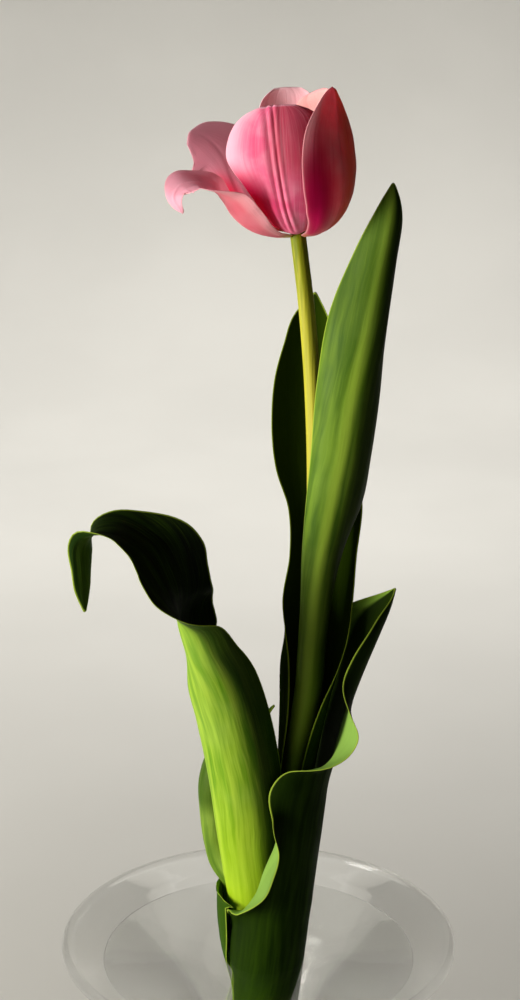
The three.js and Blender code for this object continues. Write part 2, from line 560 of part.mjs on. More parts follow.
// The pistil: a three-sided ovary with a three-lobed stigma on top.
function addPistil() {
  const stages = [[2.4, 0.12, 0], [3.1, 0.15, 4], [3.2, 0.15, 14], [2.6, 0.15, 19], [3, 0.3, 20.5],
    [3.6, 0.4, 22], [2.4, 0.35, 23.5]];
  const rings = stages.map(([radius, lobes, rise]) => ring(
    new THREE.Vector3(0, 0, RECEPTACLE + GAP + rise), UP, PISTIL_SIDES,
    (turn) => radius * (1 + lobes * Math.cos(3 * turn))));
  bloom.add(addMesh('pistil', loftGeometry(rings), { color: 0xb9c47a, roughness: 0.6 }));
}

// A stamen: a thin filament that swells into a long upright anther.
function addStamens() {
  const stages = [[0.7, 3.6], [0.8, 10], [0.7, 14], [1.3, 15], [1.6, 18], [1.5, 23], [0.6, 26]];
  for (let k = 0; k < STAMEN_COUNT; k += 1) {
    const turn = deg(30 + (360 * k) / STAMEN_COUNT);
    const rings = stages.map(([radius, rise]) => {
      const out = STAMEN_CIRCLE + rise * STAMEN_SPREAD;
      const centre = new THREE.Vector3(out * Math.cos(turn), out * Math.sin(turn), rise);
      return ring(centre, UP, STAMEN_SIDES, () => radius);
    });
    bloom.add(addMesh(`stamen_${k + 1}`, loftGeometry(rings), { color: 0x4a3350, roughness: 0.8 }));
  }
}

// ---------------------------------------------------------------- water

// The plain hole that the stem and the leaf bases stand in: its radius at a few heights.
const HOLE = [
  [13, 4.8], [27.5, 4.8], [28.5, 14.1], [46, 14.5], [80, 15.5], [100, 16.1], [120, 17],
  [130, 20], [140, 23.4],
];
const HOLE_SIDES = 32;
const BUNDLE_MIDDLE = 3.2; // how far right the middle of the leaf bases comes

function toSolid(geometry) {
  return new wasm.Manifold(new wasm.Mesh({
    numProp: 3,
    vertProperties: Float32Array.from(geometry.attributes.position.array),
    triVerts: Uint32Array.from(geometry.index.array),
  }));
}

function addWater() {
  const bottom = FLOOR_HEIGHT + GAP;
  const side = [...WALL_HEIGHTS, WATER_HEIGHT].map((z) => [cavityRadius(z) - GAP, z]);
  const profile = [[0, bottom], [FLOOR_RADIUS - GAP, bottom], ...side, [0, WATER_HEIGHT]];
  const filling = toSolid(turned(profile, VASE_SEGMENTS));
  const hole = toSolid(loftGeometry(HOLE.map(([z, radius]) => {
    const [x, y] = stemAt(z);
    const centre = new THREE.Vector3(Math.min(x, BUNDLE_MIDDLE), y, z);
    return ring(centre, UP, HOLE_SIDES, () => radius);
  })));
  const { vertProperties, triVerts } = filling.subtract(hole).getMesh();
  const geometry = new THREE.BufferGeometry();
  geometry.setAttribute('position', new THREE.Float32BufferAttribute(vertProperties, 3));
  geometry.setIndex([...triVerts]);
  addMesh('water', geometry, { color: 0xe4efe6, roughness: 0.05, transparent: true, opacity: 0.3 });
}

addVase();
addWater();
addStem();
addTallLeaf();
addBackLeaf();
addCurledLeaf();
addClaspingLeaf();
addShortLeaf();
addPetals();
addPistil();
addStamens();

export default parts;
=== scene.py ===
# A single cut tulip standing in a flared glass vase of water.
# Each solid of the part is replaced by a finer piece of the same form, in the same place.
# Lengths are in millimetres until a mesh is made from them. +Z is up and -Y is the front.

import math

import bpy
import numpy as np
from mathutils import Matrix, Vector


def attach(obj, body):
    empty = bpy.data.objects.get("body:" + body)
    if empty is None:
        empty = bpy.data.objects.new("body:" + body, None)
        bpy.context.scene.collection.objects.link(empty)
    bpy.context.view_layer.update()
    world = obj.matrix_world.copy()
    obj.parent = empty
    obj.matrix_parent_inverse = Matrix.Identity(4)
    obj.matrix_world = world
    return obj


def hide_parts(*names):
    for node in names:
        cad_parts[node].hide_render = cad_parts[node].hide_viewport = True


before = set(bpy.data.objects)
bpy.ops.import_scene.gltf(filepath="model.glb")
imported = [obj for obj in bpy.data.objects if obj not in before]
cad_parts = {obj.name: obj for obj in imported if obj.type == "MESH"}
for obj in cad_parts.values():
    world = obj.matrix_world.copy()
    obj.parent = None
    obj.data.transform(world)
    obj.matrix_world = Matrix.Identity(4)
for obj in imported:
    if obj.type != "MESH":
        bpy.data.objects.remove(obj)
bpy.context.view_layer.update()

# -------- dimensions

MM = 0.001

RIM_HEIGHT = 150
RIM_RADIUS = 92.3
LIP_THICKNESS = 5
FOOT_RADIUS = 46
FOOT_ROUND = 2
WALL = 3.5
FLOOR_HEIGHT = 14
FLOOR_RADIUS = 16
WATER_HEIGHT = 139

STEM_RADIUS_FOOT = 4.3
STEM_RADIUS_TOP = 3.4
LEAF_THICKNESS = 1.1  # at the midrib
LEAF_EDGE = 0.34  # thickness at the margin
PETAL_THICKNESS = 0.75
PETAL_EDGE = 0.26

BLOOM_LEAN = 4  # degrees to the left
BLOOM_BASE = (16.8, 0, 476.8)
STAMEN_COUNT = 6
GAP = 0.3  # between pieces that touch

# -------- camera and light

VIEW_HEIGHT = 1000
FOCAL_LENGTH = 1800  # in the same unit as the view's height
SENSOR = 36
CAMERA_PLACE = (0.0007, -0.763, 0.573)  # in metres
CAMERA_DROP = 15.5  # degrees that the camera looks down


def add_camera():
    data = bpy.data.cameras.new("camera")
    data.sensor_width = SENSOR
    data.lens = FOCAL_LENGTH / VIEW_HEIGHT * SENSOR
    camera = bpy.data.objects.new("camera", data)
    camera.location = CAMERA_PLACE
    camera.rotation_euler = (math.radians(90 - CAMERA_DROP), 0, 0)
    bpy.context.scene.collection.objects.link(camera)
    bpy.context.scene.camera = camera


def add_light(name, place, target, size, power, colour):
    """A rectangular lamp that shines at a target. Place, target and size are in metres."""
    data = bpy.data.lights.new(name, "AREA")
    data.shape = "RECTANGLE"
    data.size, data.size_y = size
    data.energy = power
    data.color = colour
    light = bpy.data.objects.new(name, data)
    light.location = place
    away = light.location - Vector(target)
    light.rotation_euler = away.to_track_quat("Z", "Y").to_euler()
    bpy.context.scene.collection.objects.link(light)
    return light


def add_lights():
    """A soft window from the left, a lamp on the sheet behind and a little light all round."""
    world = bpy.data.worlds.new("soft_room")
    world.use_nodes = True
    sky = world.node_tree.nodes["Background"]
    sky.inputs["Color"].default_value = (1.0, 0.97, 0.93, 1)
    sky.inputs["Strength"].default_value = 0.03
    bpy.context.scene.world = world
    add_light("window", place=(-1.25, -0.52, 0.45), target=(0, 0, 0.33), size=(0.45, 0.7),
              power=36, colour=(1.0, 0.97, 0.90))
    lamp = add_light("backdrop_lamp", place=(0, 0.75, 1.9), target=(0, 1.5, 0), size=(2.6, 0.5),
                     power=17, colour=(1.0, 0.99, 0.97))
    lamp.data.spread = math.radians(90)
    bpy.context.scene.view_settings.view_transform = "Standard"


# -------- smooth tracks


def track_slopes(knots, rows):
    """Each knot's slope is the mean of its two spans' slopes, weighted by the other span."""
    spans = np.diff(knots)[:, None]
    steps = np.diff(rows, axis=0) / spans
    inner = (steps[:-1] * spans[1:] + steps[1:] * spans[:-1]) / (spans[:-1] + spans[1:])
    return np.vstack([steps[:1], inner, steps[-1:]])


def smooth_track(knots, rows):
    """A cubic track through the rows, as a function of an array of places."""
    knots = np.asarray(knots, float)
    rows = np.asarray(rows, float)
    slopes = track_slopes(knots, rows)
    spans = np.diff(knots)

    def at(u):
        i = np.clip(np.searchsorted(knots, u) - 1, 0, len(spans) - 1)
        span = spans[i][:, None]
        t = (u - knots[i])[:, None] / span
        rise = t * t * (3 - 2 * t)
        leave = t * (1 - t) ** 2 * span
        arrive = t * t * (t - 1) * span
        return (rows[i] + rise * (rows[i + 1] - rows[i])
                + leave * slopes[i] + arrive * slopes[i + 1])

    return at


def unit(vectors):
    return vectors / np.linalg.norm(vectors, axis=-1, keepdims=True)


def toward(azimuth):
    """The level direction that is so many degrees round from +X towards +Y."""
    return math.cos(math.radians(azimuth)), math.sin(math.radians(azimuth))


NUDGE = 1e-3  # share of a track between the places that its heading is taken from


def heading(track, u):
    """The directions of a track whose first three numbers are a point."""
    ahead = track(np.minimum(1, u + NUDGE))[:, :3]
    behind = track(np.maximum(0, u - NUDGE))[:, :3]
    return unit(ahead - behind)


def length_knots(rows):
    """Each row's share of the way along a line. A row's first numbers are its point."""
    steps = np.linalg.norm(np.diff(np.asarray(rows, float)[:, :3], axis=0), axis=1)
    knots = np.concatenate([[0], np.cumsum(steps)])
    return knots / knots[-1]


def smoothstep(x, low, high):
    """A smooth rise from 0 at low to 1 at high."""
    t = np.clip((x - low) / (high - low), 0, 1)
    return t * t * (3 - 2 * t)


RIPPLE_START = 40  # where on its table a blade's ripple starts


def ripple(seed, a, b):
    """A smooth random surface between -1 and 1 over two coordinates, one bump to a unit."""
    size = 128
    table = np.random.default_rng(seed).uniform(-1, 1, (size, size))
    i, j = np.floor(a).astype(int), np.floor(b).astype(int)
    s, t = smoothstep(a - i, 0, 1), smoothstep(b - j, 0, 1)

    def pick(right, up):
        return table[(i + right) % size, (j + up) % size]

    near = pick(0, 0) * (1 - s) + pick(1, 0) * s
    far = pick(0, 1) * (1 - s) + pick(1, 1) * s
    return near * (1 - t) + far * t


# -------- meshes


def add_mesh(name, points, faces, material, fields=None):
    """A smooth-shaded object from points in millimetres, with point attributes of three numbers."""
    mesh = bpy.data.meshes.new(name)
    mesh.from_pydata((np.asarray(points) * MM).tolist(), [], faces)
    mesh.polygons.foreach_set("use_smooth", [True] * len(mesh.polygons))
    for field, values in (fields or {}).items():
        attribute = mesh.attributes.new(field, "FLOAT_VECTOR", "POINT")
        attribute.data.foreach_set("vector", np.asarray(values, np.float32).ravel())
    mesh.materials.append(material)
    mesh.update()
    piece = bpy.data.objects.new(name, mesh)
    bpy.context.scene.collection.objects.link(piece)
    return piece


def ring_faces(rings, sides):
    """The faces of a stack of rings of points, closed by the two points that follow the rings."""
    faces = []
    for i in range(rings - 1):
        for j in range(sides):
            a, b = i * sides + j, i * sides + (j + 1) % sides
            faces.append((a, b, b + sides, a + sides))
    last, low = (rings - 1) * sides, rings * sides
    for j in range(sides):
        n = (j + 1) % sides
        faces.append((n, j, low))
        faces.append((last + j, last + n, low + 1))
    return faces


def hand_over(piece, slot, *nodes):
    """Gives a piece its body and hides the nodes that it takes the place of. slot is not used."""
    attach(piece, "root")
    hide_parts(*nodes)


# -------- blades

SECTION_STEPS = 96
ROLL_START = 0.6  # share of a half's width where its roll begins
RIM_BULGE = 0.4  # how far the margin stands out, as a share of the thickness there

# the places of a station's numbers, after its midrib's point
BACK = slice(3, 6)
HALF, CUP, ROLL = 6, 8, 10


def station_row(at, back, half, cup, roll=(0, 0)):
    """A station, which is one place on a blade's midrib, as a row of numbers.

    at is the midrib's point and back the way that the outer face looks. half holds the widths of
    the left and right halves, seen from outside with the tip up, cup how far each turns inward by
    its margin and roll how far its outer part turns further, in degrees."""
    return [*at, *back, *half, *np.radians(cup), *np.radians(roll)]


def half_section(width, cup, roll, cells):
    """Offsets from the midrib across one half, along the side and inward, a row to a place."""
    s = (np.arange(SECTION_STEPS) + 0.5) / SECTION_STEPS
    turn = cup[:, None] * s + roll[:, None] * smoothstep(s, ROLL_START, 1)
    step = width[:, None] / SECTION_STEPS
    nought = np.zeros((len(width), 1))
    side = np.hstack([nought, np.cumsum(step * np.cos(turn), axis=1)])
    inward = np.hstack([nought, np.cumsum(step * np.sin(turn), axis=1)])
    keep = slice(None, None, SECTION_STEPS // cells)
    return side[:, keep], inward[:, keep]


def blade_grid(stations, pitch, cells):
    """The blade's middle surface as rows of points, with each point's places on the blade.

    Returns the points, their distances across from the midrib and along it, the same as shares
    (-1 to 1 and 0 to 1), and the distance to the nearest margin."""
    rows = np.array([station_row(*place) for place in stations])
    knots = length_knots(rows)
    track = smooth_track(knots, rows)
    length = np.linalg.norm(np.diff(rows[:, :3], axis=0), axis=1)
    places = []
    for i, span in enumerate(length):
        count = max(3, round(span / pitch))
        places.extend(np.linspace(knots[i], knots[i + 1], count, endpoint=False))
    u = np.array([*places, 1.0])
    here = track(u)
    tip = heading(track, u)
    back = here[:, BACK]
    back = unit(back - tip * np.sum(back * tip, axis=1, keepdims=True))
    right = np.cross(tip, back)
    halves = []
    for k, sign in ((0, -1), (1, 1)):
        side, inward = half_section(
            here[:, HALF + k], here[:, CUP + k], here[:, ROLL + k], cells)
        halves.append(here[:, None, :3] + sign * side[..., None] * right[:, None]
                      - inward[..., None] * back[:, None])
    grid = np.concatenate([halves[0][:, :0:-1], halves[1]], axis=1)
    share = np.linspace(-1, 1, 2 * cells + 1)[None] * np.ones((len(u), 1))
    rise = u[:, None] * np.ones_like(share)
    width = np.where(share < 0, here[:, [HALF]], here[:, [HALF + 1]])
    margin = np.minimum((1 - np.abs(share)) * width, (1 - rise) * length.sum())
    return grid, share * width, rise * length.sum(), share, rise, margin


def grid_normals(grid):
    """The directions in which the outer face looks at a grid's points."""
    along = np.gradient(grid, axis=0)
    across = np.gradient(grid, axis=1)
    return unit(np.cross(across, along))


def margin_loop(rows, columns):
    """The row and column of each outermost point of a grid, once round."""
    return np.array([(0, j) for j in range(columns - 1)]
                    + [(i, columns - 1) for i in range(rows - 1)]
                    + [(rows - 1, j) for j in range(columns - 1, 0, -1)]
                    + [(i, 0) for i in range(rows - 1, 0, -1)])


def blade_faces(rows, columns, loop):
    """The faces of an outer grid, an inner grid and a rim of points between their margins."""
    count = rows * columns
    index = np.arange(count).reshape(rows, columns)
    a, b, c, d = index[:-1, :-1], index[:-1, 1:], index[1:, 1:], index[1:, :-1]
    front = np.stack([a, b, c, d], axis=-1).reshape(-1, 4)
    faces = front.tolist() + (front[:, ::-1] + count).tolist()
    edge = index[loop[:, 0], loop[:, 1]].tolist()
    for k in range(len(loop)):
        n = (k + 1) % len(loop)
        p, q = edge[k], edge[n]
        r, s = 2 * count + k, 2 * count + n
        faces.append((q, p, r, s))
        faces.append((s, r, p + count, q + count))
    return faces


def fields_of(columns, ends, faces_too=False):
    """Point values for a blade's outer face, inner face and rim, in the order of its points.

    faces_too adds a last value: 1 on the outer face, 0 on the inner one and 0.5 on the rim."""
    stacked = [np.stack([c.ravel() for c in columns], axis=-1)] * 2
    stacked.append(np.stack([c[ends] for c in columns], axis=-1))
    if faces_too:
        stacked = [np.column_stack([rows, np.full(len(rows), outer)])
                   for rows, outer in zip(stacked, (1.0, 0.0, 0.5))]
    return np.concatenate(stacked)


def add_blade(name, stations, material, thickness, edge, relief, pitch, cells, place=None):
    """A closed blade with a rounded margin.

    relief(across, along, share, rise) gives how far the sheet stands out of its plain form, and
    how much thicker it is. pitch is the step along the blade, cells the steps across each half."""
    grid, across, along, share, rise, margin = blade_grid(stations, pitch, cells)
    lift, swell = relief(across, along, share, rise)
    grid = grid + lift[..., None] * grid_normals(grid)
    normals = grid_normals(grid)
    depth = thickness + (edge - thickness) * share ** 2 + swell
    outer = grid + 0.5 * depth[..., None] * normals
    inner = grid - 0.5 * depth[..., None] * normals
    rows, columns = share.shape
    loop = margin_loop(rows, columns)
    ends = loop[:, 0], loop[:, 1]
    inside = np.clip(loop, 1, [rows - 2, columns - 2])
    outward = unit(grid[ends] - grid[inside[:, 0], inside[:, 1]])
    rim = grid[ends] + outward * RIM_BULGE * depth[ends][:, None]
    points = np.concatenate([outer.reshape(-1, 3), inner.reshape(-1, 3), rim])
    if place:
        points = place(points)
    return add_mesh(name, points, blade_faces(rows, columns, loop), material, {
        "blade": fields_of((across, along, margin), ends),
        "share": fields_of((share, rise), ends, faces_too=True)})


# -------- material nodes


def srgb(red, green, blue):
    """A colour from screen values of 0 to 255, as Blender's linear one."""
    values = np.array([red, green, blue]) / 255
    linear = np.where(values <= 0.04045, values / 12.92, ((values + 0.055) / 1.055) ** 2.4)
    return (*linear.tolist(), 1.0)


class Shade:
    """The nodes of one material, built step by step."""

    def __init__(self, name):
        self.material = bpy.data.materials.new(name)
        self.material.use_nodes = True
        self.tree = self.material.node_tree
        self.tree.nodes.clear()

    def node(self, kind, inputs=None, out=0, **settings):
        """Adds a node, sets or links its inputs and returns one of its outputs."""
        made = self.tree.nodes.new("ShaderNode" + kind)
        for key, value in settings.items():
            setattr(made, key, value)
        for key, value in (inputs or {}).items():
            if isinstance(value, bpy.types.NodeSocket):
                self.tree.links.new(value, made.inputs[key])
            else:
                made.inputs[key].default_value = value
        return made.outputs[out] if made.outputs else None

    def math(self, operation, a, b=0.0):
        return self.node("Math", {0: a, 1: b}, operation=operation)

    def field(self, name):
        """The three numbers of a point attribute."""
        vector = self.node("Attribute", out="Vector", attribute_name=name)
        parts = self.node("SeparateXYZ", {0: vector}).node
        return parts.outputs[0], parts.outputs[1], parts.outputs[2]

    def vector(self, x, y, z):
        return self.node("CombineXYZ", {0: x, 1: y, 2: z})

    def noise(self, vector, scale=1.0, detail=2.0, roughness=0.5):
        return self.node("TexNoise", {
            "Vector": vector, "Scale": scale, "Detail": detail, "Roughness": roughness})

    def fade(self, value, low, high, start=0.0, end=1.0):
        """A smooth step of value from start, at low, to end, at high."""
        return self.node("MapRange", {
            "Value": value, "From Min": low, "From Max": high, "To Min": start, "To Max": end,
        }, interpolation_type="SMOOTHSTEP")

    def mix(self, share, a, b, blend="MIX"):
        return self.node("Mix", {0: share, 6: a, 7: b}, out=2, data_type="RGBA",
                         blend_type=blend, clamp_factor=True)

    def tint(self, colour, share, screen):
        """A colour turned by a share to another one, which is given by its screen values."""
        return self.mix(share, colour, srgb(*screen))

    def sum_of(self, *parts):
        """The sum of some values, each multiplied by its weight."""
        weighted = [self.math("MULTIPLY", value, weight) for value, weight in parts]
        return self.math("ADD", *weighted)

    def bump(self, height, distance):
        return self.node("Bump", {"Height": height, "Distance": distance * MM})

    def finish(self, shader):
        self.node("OutputMaterial", {"Surface": shader})
        return self.material


def streaks(shade, across, along, fine, slow, offset, detail=2.0):
    """Noise drawn out along a blade: fine is its bumps to a unit across, slow those along."""
    x = shade.math("MULTIPLY", across, fine)
    y = shade.math("MULTIPLY", along, slow)
    return shade.noise(shade.vector(x, y, offset), detail=detail)


def sheet_shader(shade, colour, normal, roughness, through, specular=0.4):
    """A leaf's or petal's surface, a share of which lets light through."""
    surface = shade.node("BsdfPrincipled", {
        "Base Color": colour, "Roughness": roughness, "Normal": normal,
        "Specular IOR Level": specular})
    passing = shade.node("BsdfTranslucent", {"Color": colour, "Normal": normal})
    return shade.node("MixShader", {0: through, 1: surface, 2: passing})


LEAF_MARGIN = (150, 172, 56)
LEAF_WAX = (140, 164, 78)


def leaf_material(name, deep, light, inner, base, wax, seed, through=0.03, yellow=(0.0, 0.35),
                  midrib=None, grain=0.12, specular=0.08, patches=()):
    """A tulip leaf: parallel veins, a thin pale bloom, a pale margin and a yellower foot.

    deep and light are the outer face's colours between and on its streaks, inner the other face's,
    base the foot's. wax is how much pale bloom lies on it and yellow where the foot's colour fades
    out along the leaf. grain is how deep its fine relief is. A patch is a face, the share that it
    goes by, the two values between which it comes in, its strength and its colour."""
    shade = Shade(name)
    across, along, margin_gap = shade.field("blade")
    share, rise, outer = shade.field("share")
    drift = streaks(shade, across, along, 0.10, 0.03, seed + 9.4)
    bent = shade.math("ADD", across, shade.math("MULTIPLY", drift, 5.0))
    broad = streaks(shade, bent, along, 0.30, 0.022, seed)
    fine = streaks(shade, bent, along, 1.0, 0.045, seed + 3.1, detail=3.0)
    hair = streaks(shade, across, along, 3.4, 0.05, seed + 5.7)
    body = shade.mix(shade.fade(broad, 0.28, 0.72), srgb(*deep), srgb(*light))
    body = shade.tint(body, shade.fade(fine, 0.50, 0.74, 0, 0.35), light)
    body = shade.tint(body, shade.fade(fine, 0.48, 0.26, 0, 0.30), deep)
    patch = shade.noise(shade.vector(across, along, seed), scale=0.045, detail=3.0)
    cover = shade.math("MULTIPLY", shade.fade(patch, 0.38, 0.7), wax)
    body = shade.tint(body, cover, LEAF_WAX)
    foot = shade.fade(rise, *yellow, 1, 0)
    body = shade.tint(body, shade.math("MULTIPLY", foot, 0.85), base)
    if midrib:
        line = shade.fade(shade.math("ABSOLUTE", across), 0.4, 3.6, 0.75, 0)
        body = shade.tint(body, line, midrib)
    under = shade.mix(shade.fade(broad, 0.3, 0.7, 0, 0.10), srgb(*inner), srgb(*deep))
    under = shade.tint(under, shade.fade(fine, 0.5, 0.72, 0, 0.3), inner)
    faces = {"outer": body, "inner": under}
    # several of these patches are painted shade and painted light, marked where each leaf is made
    for face, by, low, high, strength, tint in patches:
        cover = shade.fade({"share": share, "rise": rise}[by], low, high, 0, strength)
        faces[face] = shade.tint(faces[face], cover, tint)
    colour = shade.mix(outer, faces["inner"], faces["outer"])
    colour = shade.mix(shade.fade(hair, 0.55, 0.75, 0, 0.12), colour, srgb(*light), "SCREEN")
    rim = shade.fade(margin_gap, 0.15, 0.75, 0.8, 0)
    colour = shade.tint(colour, rim, LEAF_MARGIN)
    normal = shade.bump(shade.sum_of((fine, 0.7), (hair, 0.3)), grain)
    roughness = shade.fade(patch, 0.3, 0.7, 0.5, 0.64)
    return shade.finish(sheet_shader(shade, colour, normal, roughness, through, specular))


PETAL_FOOT = 0.10  # share of a petal's length that the colour of its foot takes up


def petal_material(name, body, edge, deep, foot, inner, through, seed,
                   blush=(0.0, 0.4, 0.6, 0.4, 0.8), edge_width=(0.45, 1.0), side=None):
    """A tulip petal: fine lines from its foot, a paler edge and a deep blush.

    blush is the deep patch's middle, as shares across and along, its half width and half height
    as such shares, and its strength. edge_width is the shares across between which the edge's
    colour comes in. side is painted shade: a colour for the part turned from the lamp, the shares
    across between which the petal turns to it, and those along it."""
    shade = Shade(name)
    across, along, margin_gap = shade.field("blade")
    share, rise, outer = shade.field("share")
    line = streaks(shade, share, rise, 22.0, 2.2, seed, detail=3.0)
    hair = streaks(shade, share, rise, 64.0, 3.0, seed + 2.3)
    cloud = shade.noise(shade.vector(across, along, seed), scale=0.09, detail=3.0)
    colour = shade.mix(shade.fade(cloud, 0.35, 0.7, 0, 0.35), srgb(*body), srgb(*edge))
    pale = shade.fade(shade.math("ABSOLUTE", share), *edge_width, 0, 0.9)
    colour = shade.tint(colour, pale, edge)
    # painted shade: the petal turns to the side colour where it is turned from the lamp
    if side:
        painted_shade_share = shade.math("MULTIPLY", shade.fade(share, side[1], side[2], 0, 0.9),
                           shade.fade(rise, side[3], side[4]))
        colour = shade.tint(colour, painted_shade_share, side[0])
    colour = shade.tint(colour, shade.fade(line, 0.5, 0.75, 0, 0.2), edge)
    colour = shade.tint(colour, shade.fade(line, 0.48, 0.25, 0, 0.24), deep)
    colour = shade.tint(colour, shade.fade(hair, 0.5, 0.78, 0, 0.14), edge)
    squares = []
    for value, middle, half in ((share, blush[0], blush[2]), (rise, blush[1], blush[3])):
        off = shade.math("DIVIDE", shade.math("SUBTRACT", value, middle), half)
        squares.append(shade.math("POWER", shade.math("ABSOLUTE", off), 2.0))
    spot = shade.fade(shade.math("ADD", *squares), 1.0, 0.0, 0, blush[4])
    colour = shade.tint(colour, spot, deep)
    colour = shade.mix(outer, shade.mix(spot, srgb(*inner), srgb(*deep)), colour)
    colour = shade.tint(colour, shade.fade(rise, 0.02, PETAL_FOOT, 0.95, 0), foot)
    rim = shade.fade(margin_gap, 0.1, 0.9, 0.65, 0)
    colour = shade.tint(colour, rim, edge)
    normal = shade.bump(shade.sum_of((line, 0.6), (hair, 0.4)), 0.13)
    return shade.finish(sheet_shader(shade, colour, normal, 0.55, through, 0.2))


# -------- vase

CAVITY = [
    (FLOOR_HEIGHT, 18), (20, 22.5), (32, 24), (50, 23), (70, 22.5), (90, 27), (108, 35),
    (122, 46), (133, 62), (141, 76), (RIM_HEIGHT - LIP_THICKNESS / 2, RIM_RADIUS - LIP_THICKNESS),
]
CAVITY_TOP = CAVITY[-1][0]
CORNER_HEIGHT = 17  # where the floor's rounded corner meets the wall
cavity_track = smooth_track([(z - FLOOR_HEIGHT) / (CAVITY_TOP - FLOOR_HEIGHT) for z, _ in CAVITY],
                            [(radius,) for _, radius in CAVITY])
VASE_SEGMENTS = 160


def cavity_radius(z):
    """The inside radius of the glass at some heights."""
    return cavity_track((np.asarray(z, float) - FLOOR_HEIGHT) / (CAVITY_TOP - FLOOR_HEIGHT))[:, 0]


def turned(name, profile, material):
    """A closed turned solid from a profile of (radius, height) that starts and ends on the axis."""
    ring = profile[1:-1]
    turn = np.arange(VASE_SEGMENTS) * 2 * math.pi / VASE_SEGMENTS
    points = np.stack([
        ring[:, 0, None] * np.cos(turn), ring[:, 0, None] * np.sin(turn),
        ring[:, 1, None] * np.ones(VASE_SEGMENTS)], axis=-1).reshape(-1, 3)
    points = np.vstack([points, [0, 0, profile[0, 1]], [0, 0, profile[-1, 1]]])
    return add_mesh(name, points, ring_faces(len(ring), VASE_SEGMENTS), material)


def drawn(points, count):
    """Points at even steps on a smooth line through the points of a profile."""
    return smooth_track(length_knots(points), points)(np.linspace(0, 1, count))


def vase_profile():
    """The glass's outline, from the middle of its foot over the lip to the middle of its floor."""
    corner = [(FOOT_RADIUS + FOOT_ROUND * (math.sin(t) - 1), FOOT_ROUND * (1 - math.cos(t)))
              for t in np.radians([0, 22, 45, 68, 90])]
    body = [(FOOT_RADIUS, FOOT_ROUND), (FOOT_RADIUS, 4.5), (FOOT_RADIUS - 3, 7.5), (36, 12),
            (30.5, 19), (28, 30), (27, 45), (26.3, 60), (26.8, 75), (29.5, 88)]
    for z in (98, 108, 117, 125, 132, 138, 142):
        body.append((cavity_radius([z])[0] + WALL, z - WALL * 0.35))
    lip = LIP_THICKNESS / 2
    curl = np.radians(np.linspace(-60, 180, 17))
    lip_arc = np.column_stack([RIM_RADIUS - lip + lip * np.cos(curl),
                               RIM_HEIGHT - lip + lip * np.sin(curl)])
    inside = np.linspace(RIM_HEIGHT - lip - 1, CORNER_HEIGHT, 70)
    inner_wall = np.column_stack([cavity_radius(inside), inside])
    floor = [(radius, FLOOR_HEIGHT) for radius in (FLOOR_RADIUS, FLOOR_RADIUS / 2, 0)]
    return np.vstack([[(0, 0), (20, 0)], corner, drawn(body, 70)[1:], lip_arc, inner_wall, floor])


def glass_material(name, colour, ior, ripples):
    """Clear glass or water that lets light fall through it. Faint ripples break its reflections."""
    shade = Shade(name)
    place = shade.node("TexCoord", out="Object")
    wave = shade.noise(place, scale=ripples, detail=2.0)
    normal = shade.bump(wave, 0.25)
    smear = shade.noise(place, scale=ripples * 3, detail=3.0)
    body = shade.node("BsdfPrincipled", {
        "Base Color": colour, "Roughness": shade.fade(smear, 0.45, 0.75, 0.005, 0.05),
        "IOR": ior, "Transmission Weight": 1.0, "Alpha": 0.4, "Normal": normal})
    passing = shade.node("BsdfTransparent", {"Color": colour})
    shadow = shade.node("LightPath", out="Is Shadow Ray")
    return shade.finish(shade.node("MixShader", {0: shadow, 1: body, 2: passing}))


def add_vase():
    glass = glass_material("clear_glass", (0.965, 0.985, 0.975, 1), 1.46, 18.0)
    hand_over(turned("glass_vase", vase_profile(), glass), "glass", "vase")


def add_water():
    """The water wets the glass, so its side lies a hair inside the wall."""
    wet = 0.12
    z = np.linspace(CORNER_HEIGHT, WATER_HEIGHT, 60)
    side = np.column_stack([cavity_radius(z) + wet, z])
    edge = side[-1, 0]
    climb = [(edge + 0.5, WATER_HEIGHT + 0.55), (edge - 0.2, WATER_HEIGHT + 0.35),
             (edge - 1.2, WATER_HEIGHT + 0.05)]
    surface = [(radius, WATER_HEIGHT - 0.1) for radius in (edge - 3, edge * 0.6, edge * 0.3, 0)]
    bottom = [(radius, FLOOR_HEIGHT - wet) for radius in (0, FLOOR_RADIUS / 2, FLOOR_RADIUS)]
    profile = np.vstack([bottom, side, climb, surface])
    water = glass_material("still_water", (0.97, 0.985, 0.97, 1), 1.33, 30.0)
    hand_over(turned("still_water", profile, water), "water", "water")


# -------- stem

STEM_FOOT = (-7.5, 1, FLOOR_HEIGHT + GAP)
STEM_LINE = [
    STEM_FOOT, (-3.2, 0.5, 65), (3.1, 0, 120), (6.8, 0, 156), (10.7, 0, 190), (16, 0, 228),
    (21.4, 0, 264), (24, 0, 298), (24.6, 0, 332), (24.8, 0, 368), (23.3, 0, 412), (20.2, 0, 450),
    BLOOM_BASE,
]
RECEPTACLE = 3  # how far the stem's end stands in the bloom
STEM_SIDES = 48

stem_track = smooth_track(length_knots(STEM_LINE), STEM_LINE)
STEM_TABLE = stem_track(np.linspace(0, 1, 4001))


def stem_at(z):
    """The stem's middle line at a height."""
    return [np.interp(z, STEM_TABLE[:, 2], STEM_TABLE[:, k]) for k in range(2)]


def loft(name, centres, axes, radii, material, place=None):
    """A closed round solid. radii holds a row of radii, one to a side, for each centre."""
    rings, sides = radii.shape
    up = unit(axes)
    side = unit(np.array([1.0, 0, 0]) - up * up[:, :1])
    other = np.cross(up, side)
    turn = np.arange(sides) * 2 * math.pi / sides
    points = (centres[:, None]
              + (radii * np.cos(turn))[..., None] * side[:, None]
              + (radii * np.sin(turn))[..., None] * other[:, None])
    points = np.vstack([points.reshape(-1, 3), points[0].mean(0), points[-1].mean(0)])
    rise = np.append(np.repeat(np.linspace(0, 1, rings), sides), [0, 1])
    if place:
        points = place(points)
    return add_mesh(name, points, ring_faces(rings, sides), material, {
        "share": np.column_stack([0 * rise, rise, 0 * rise])})


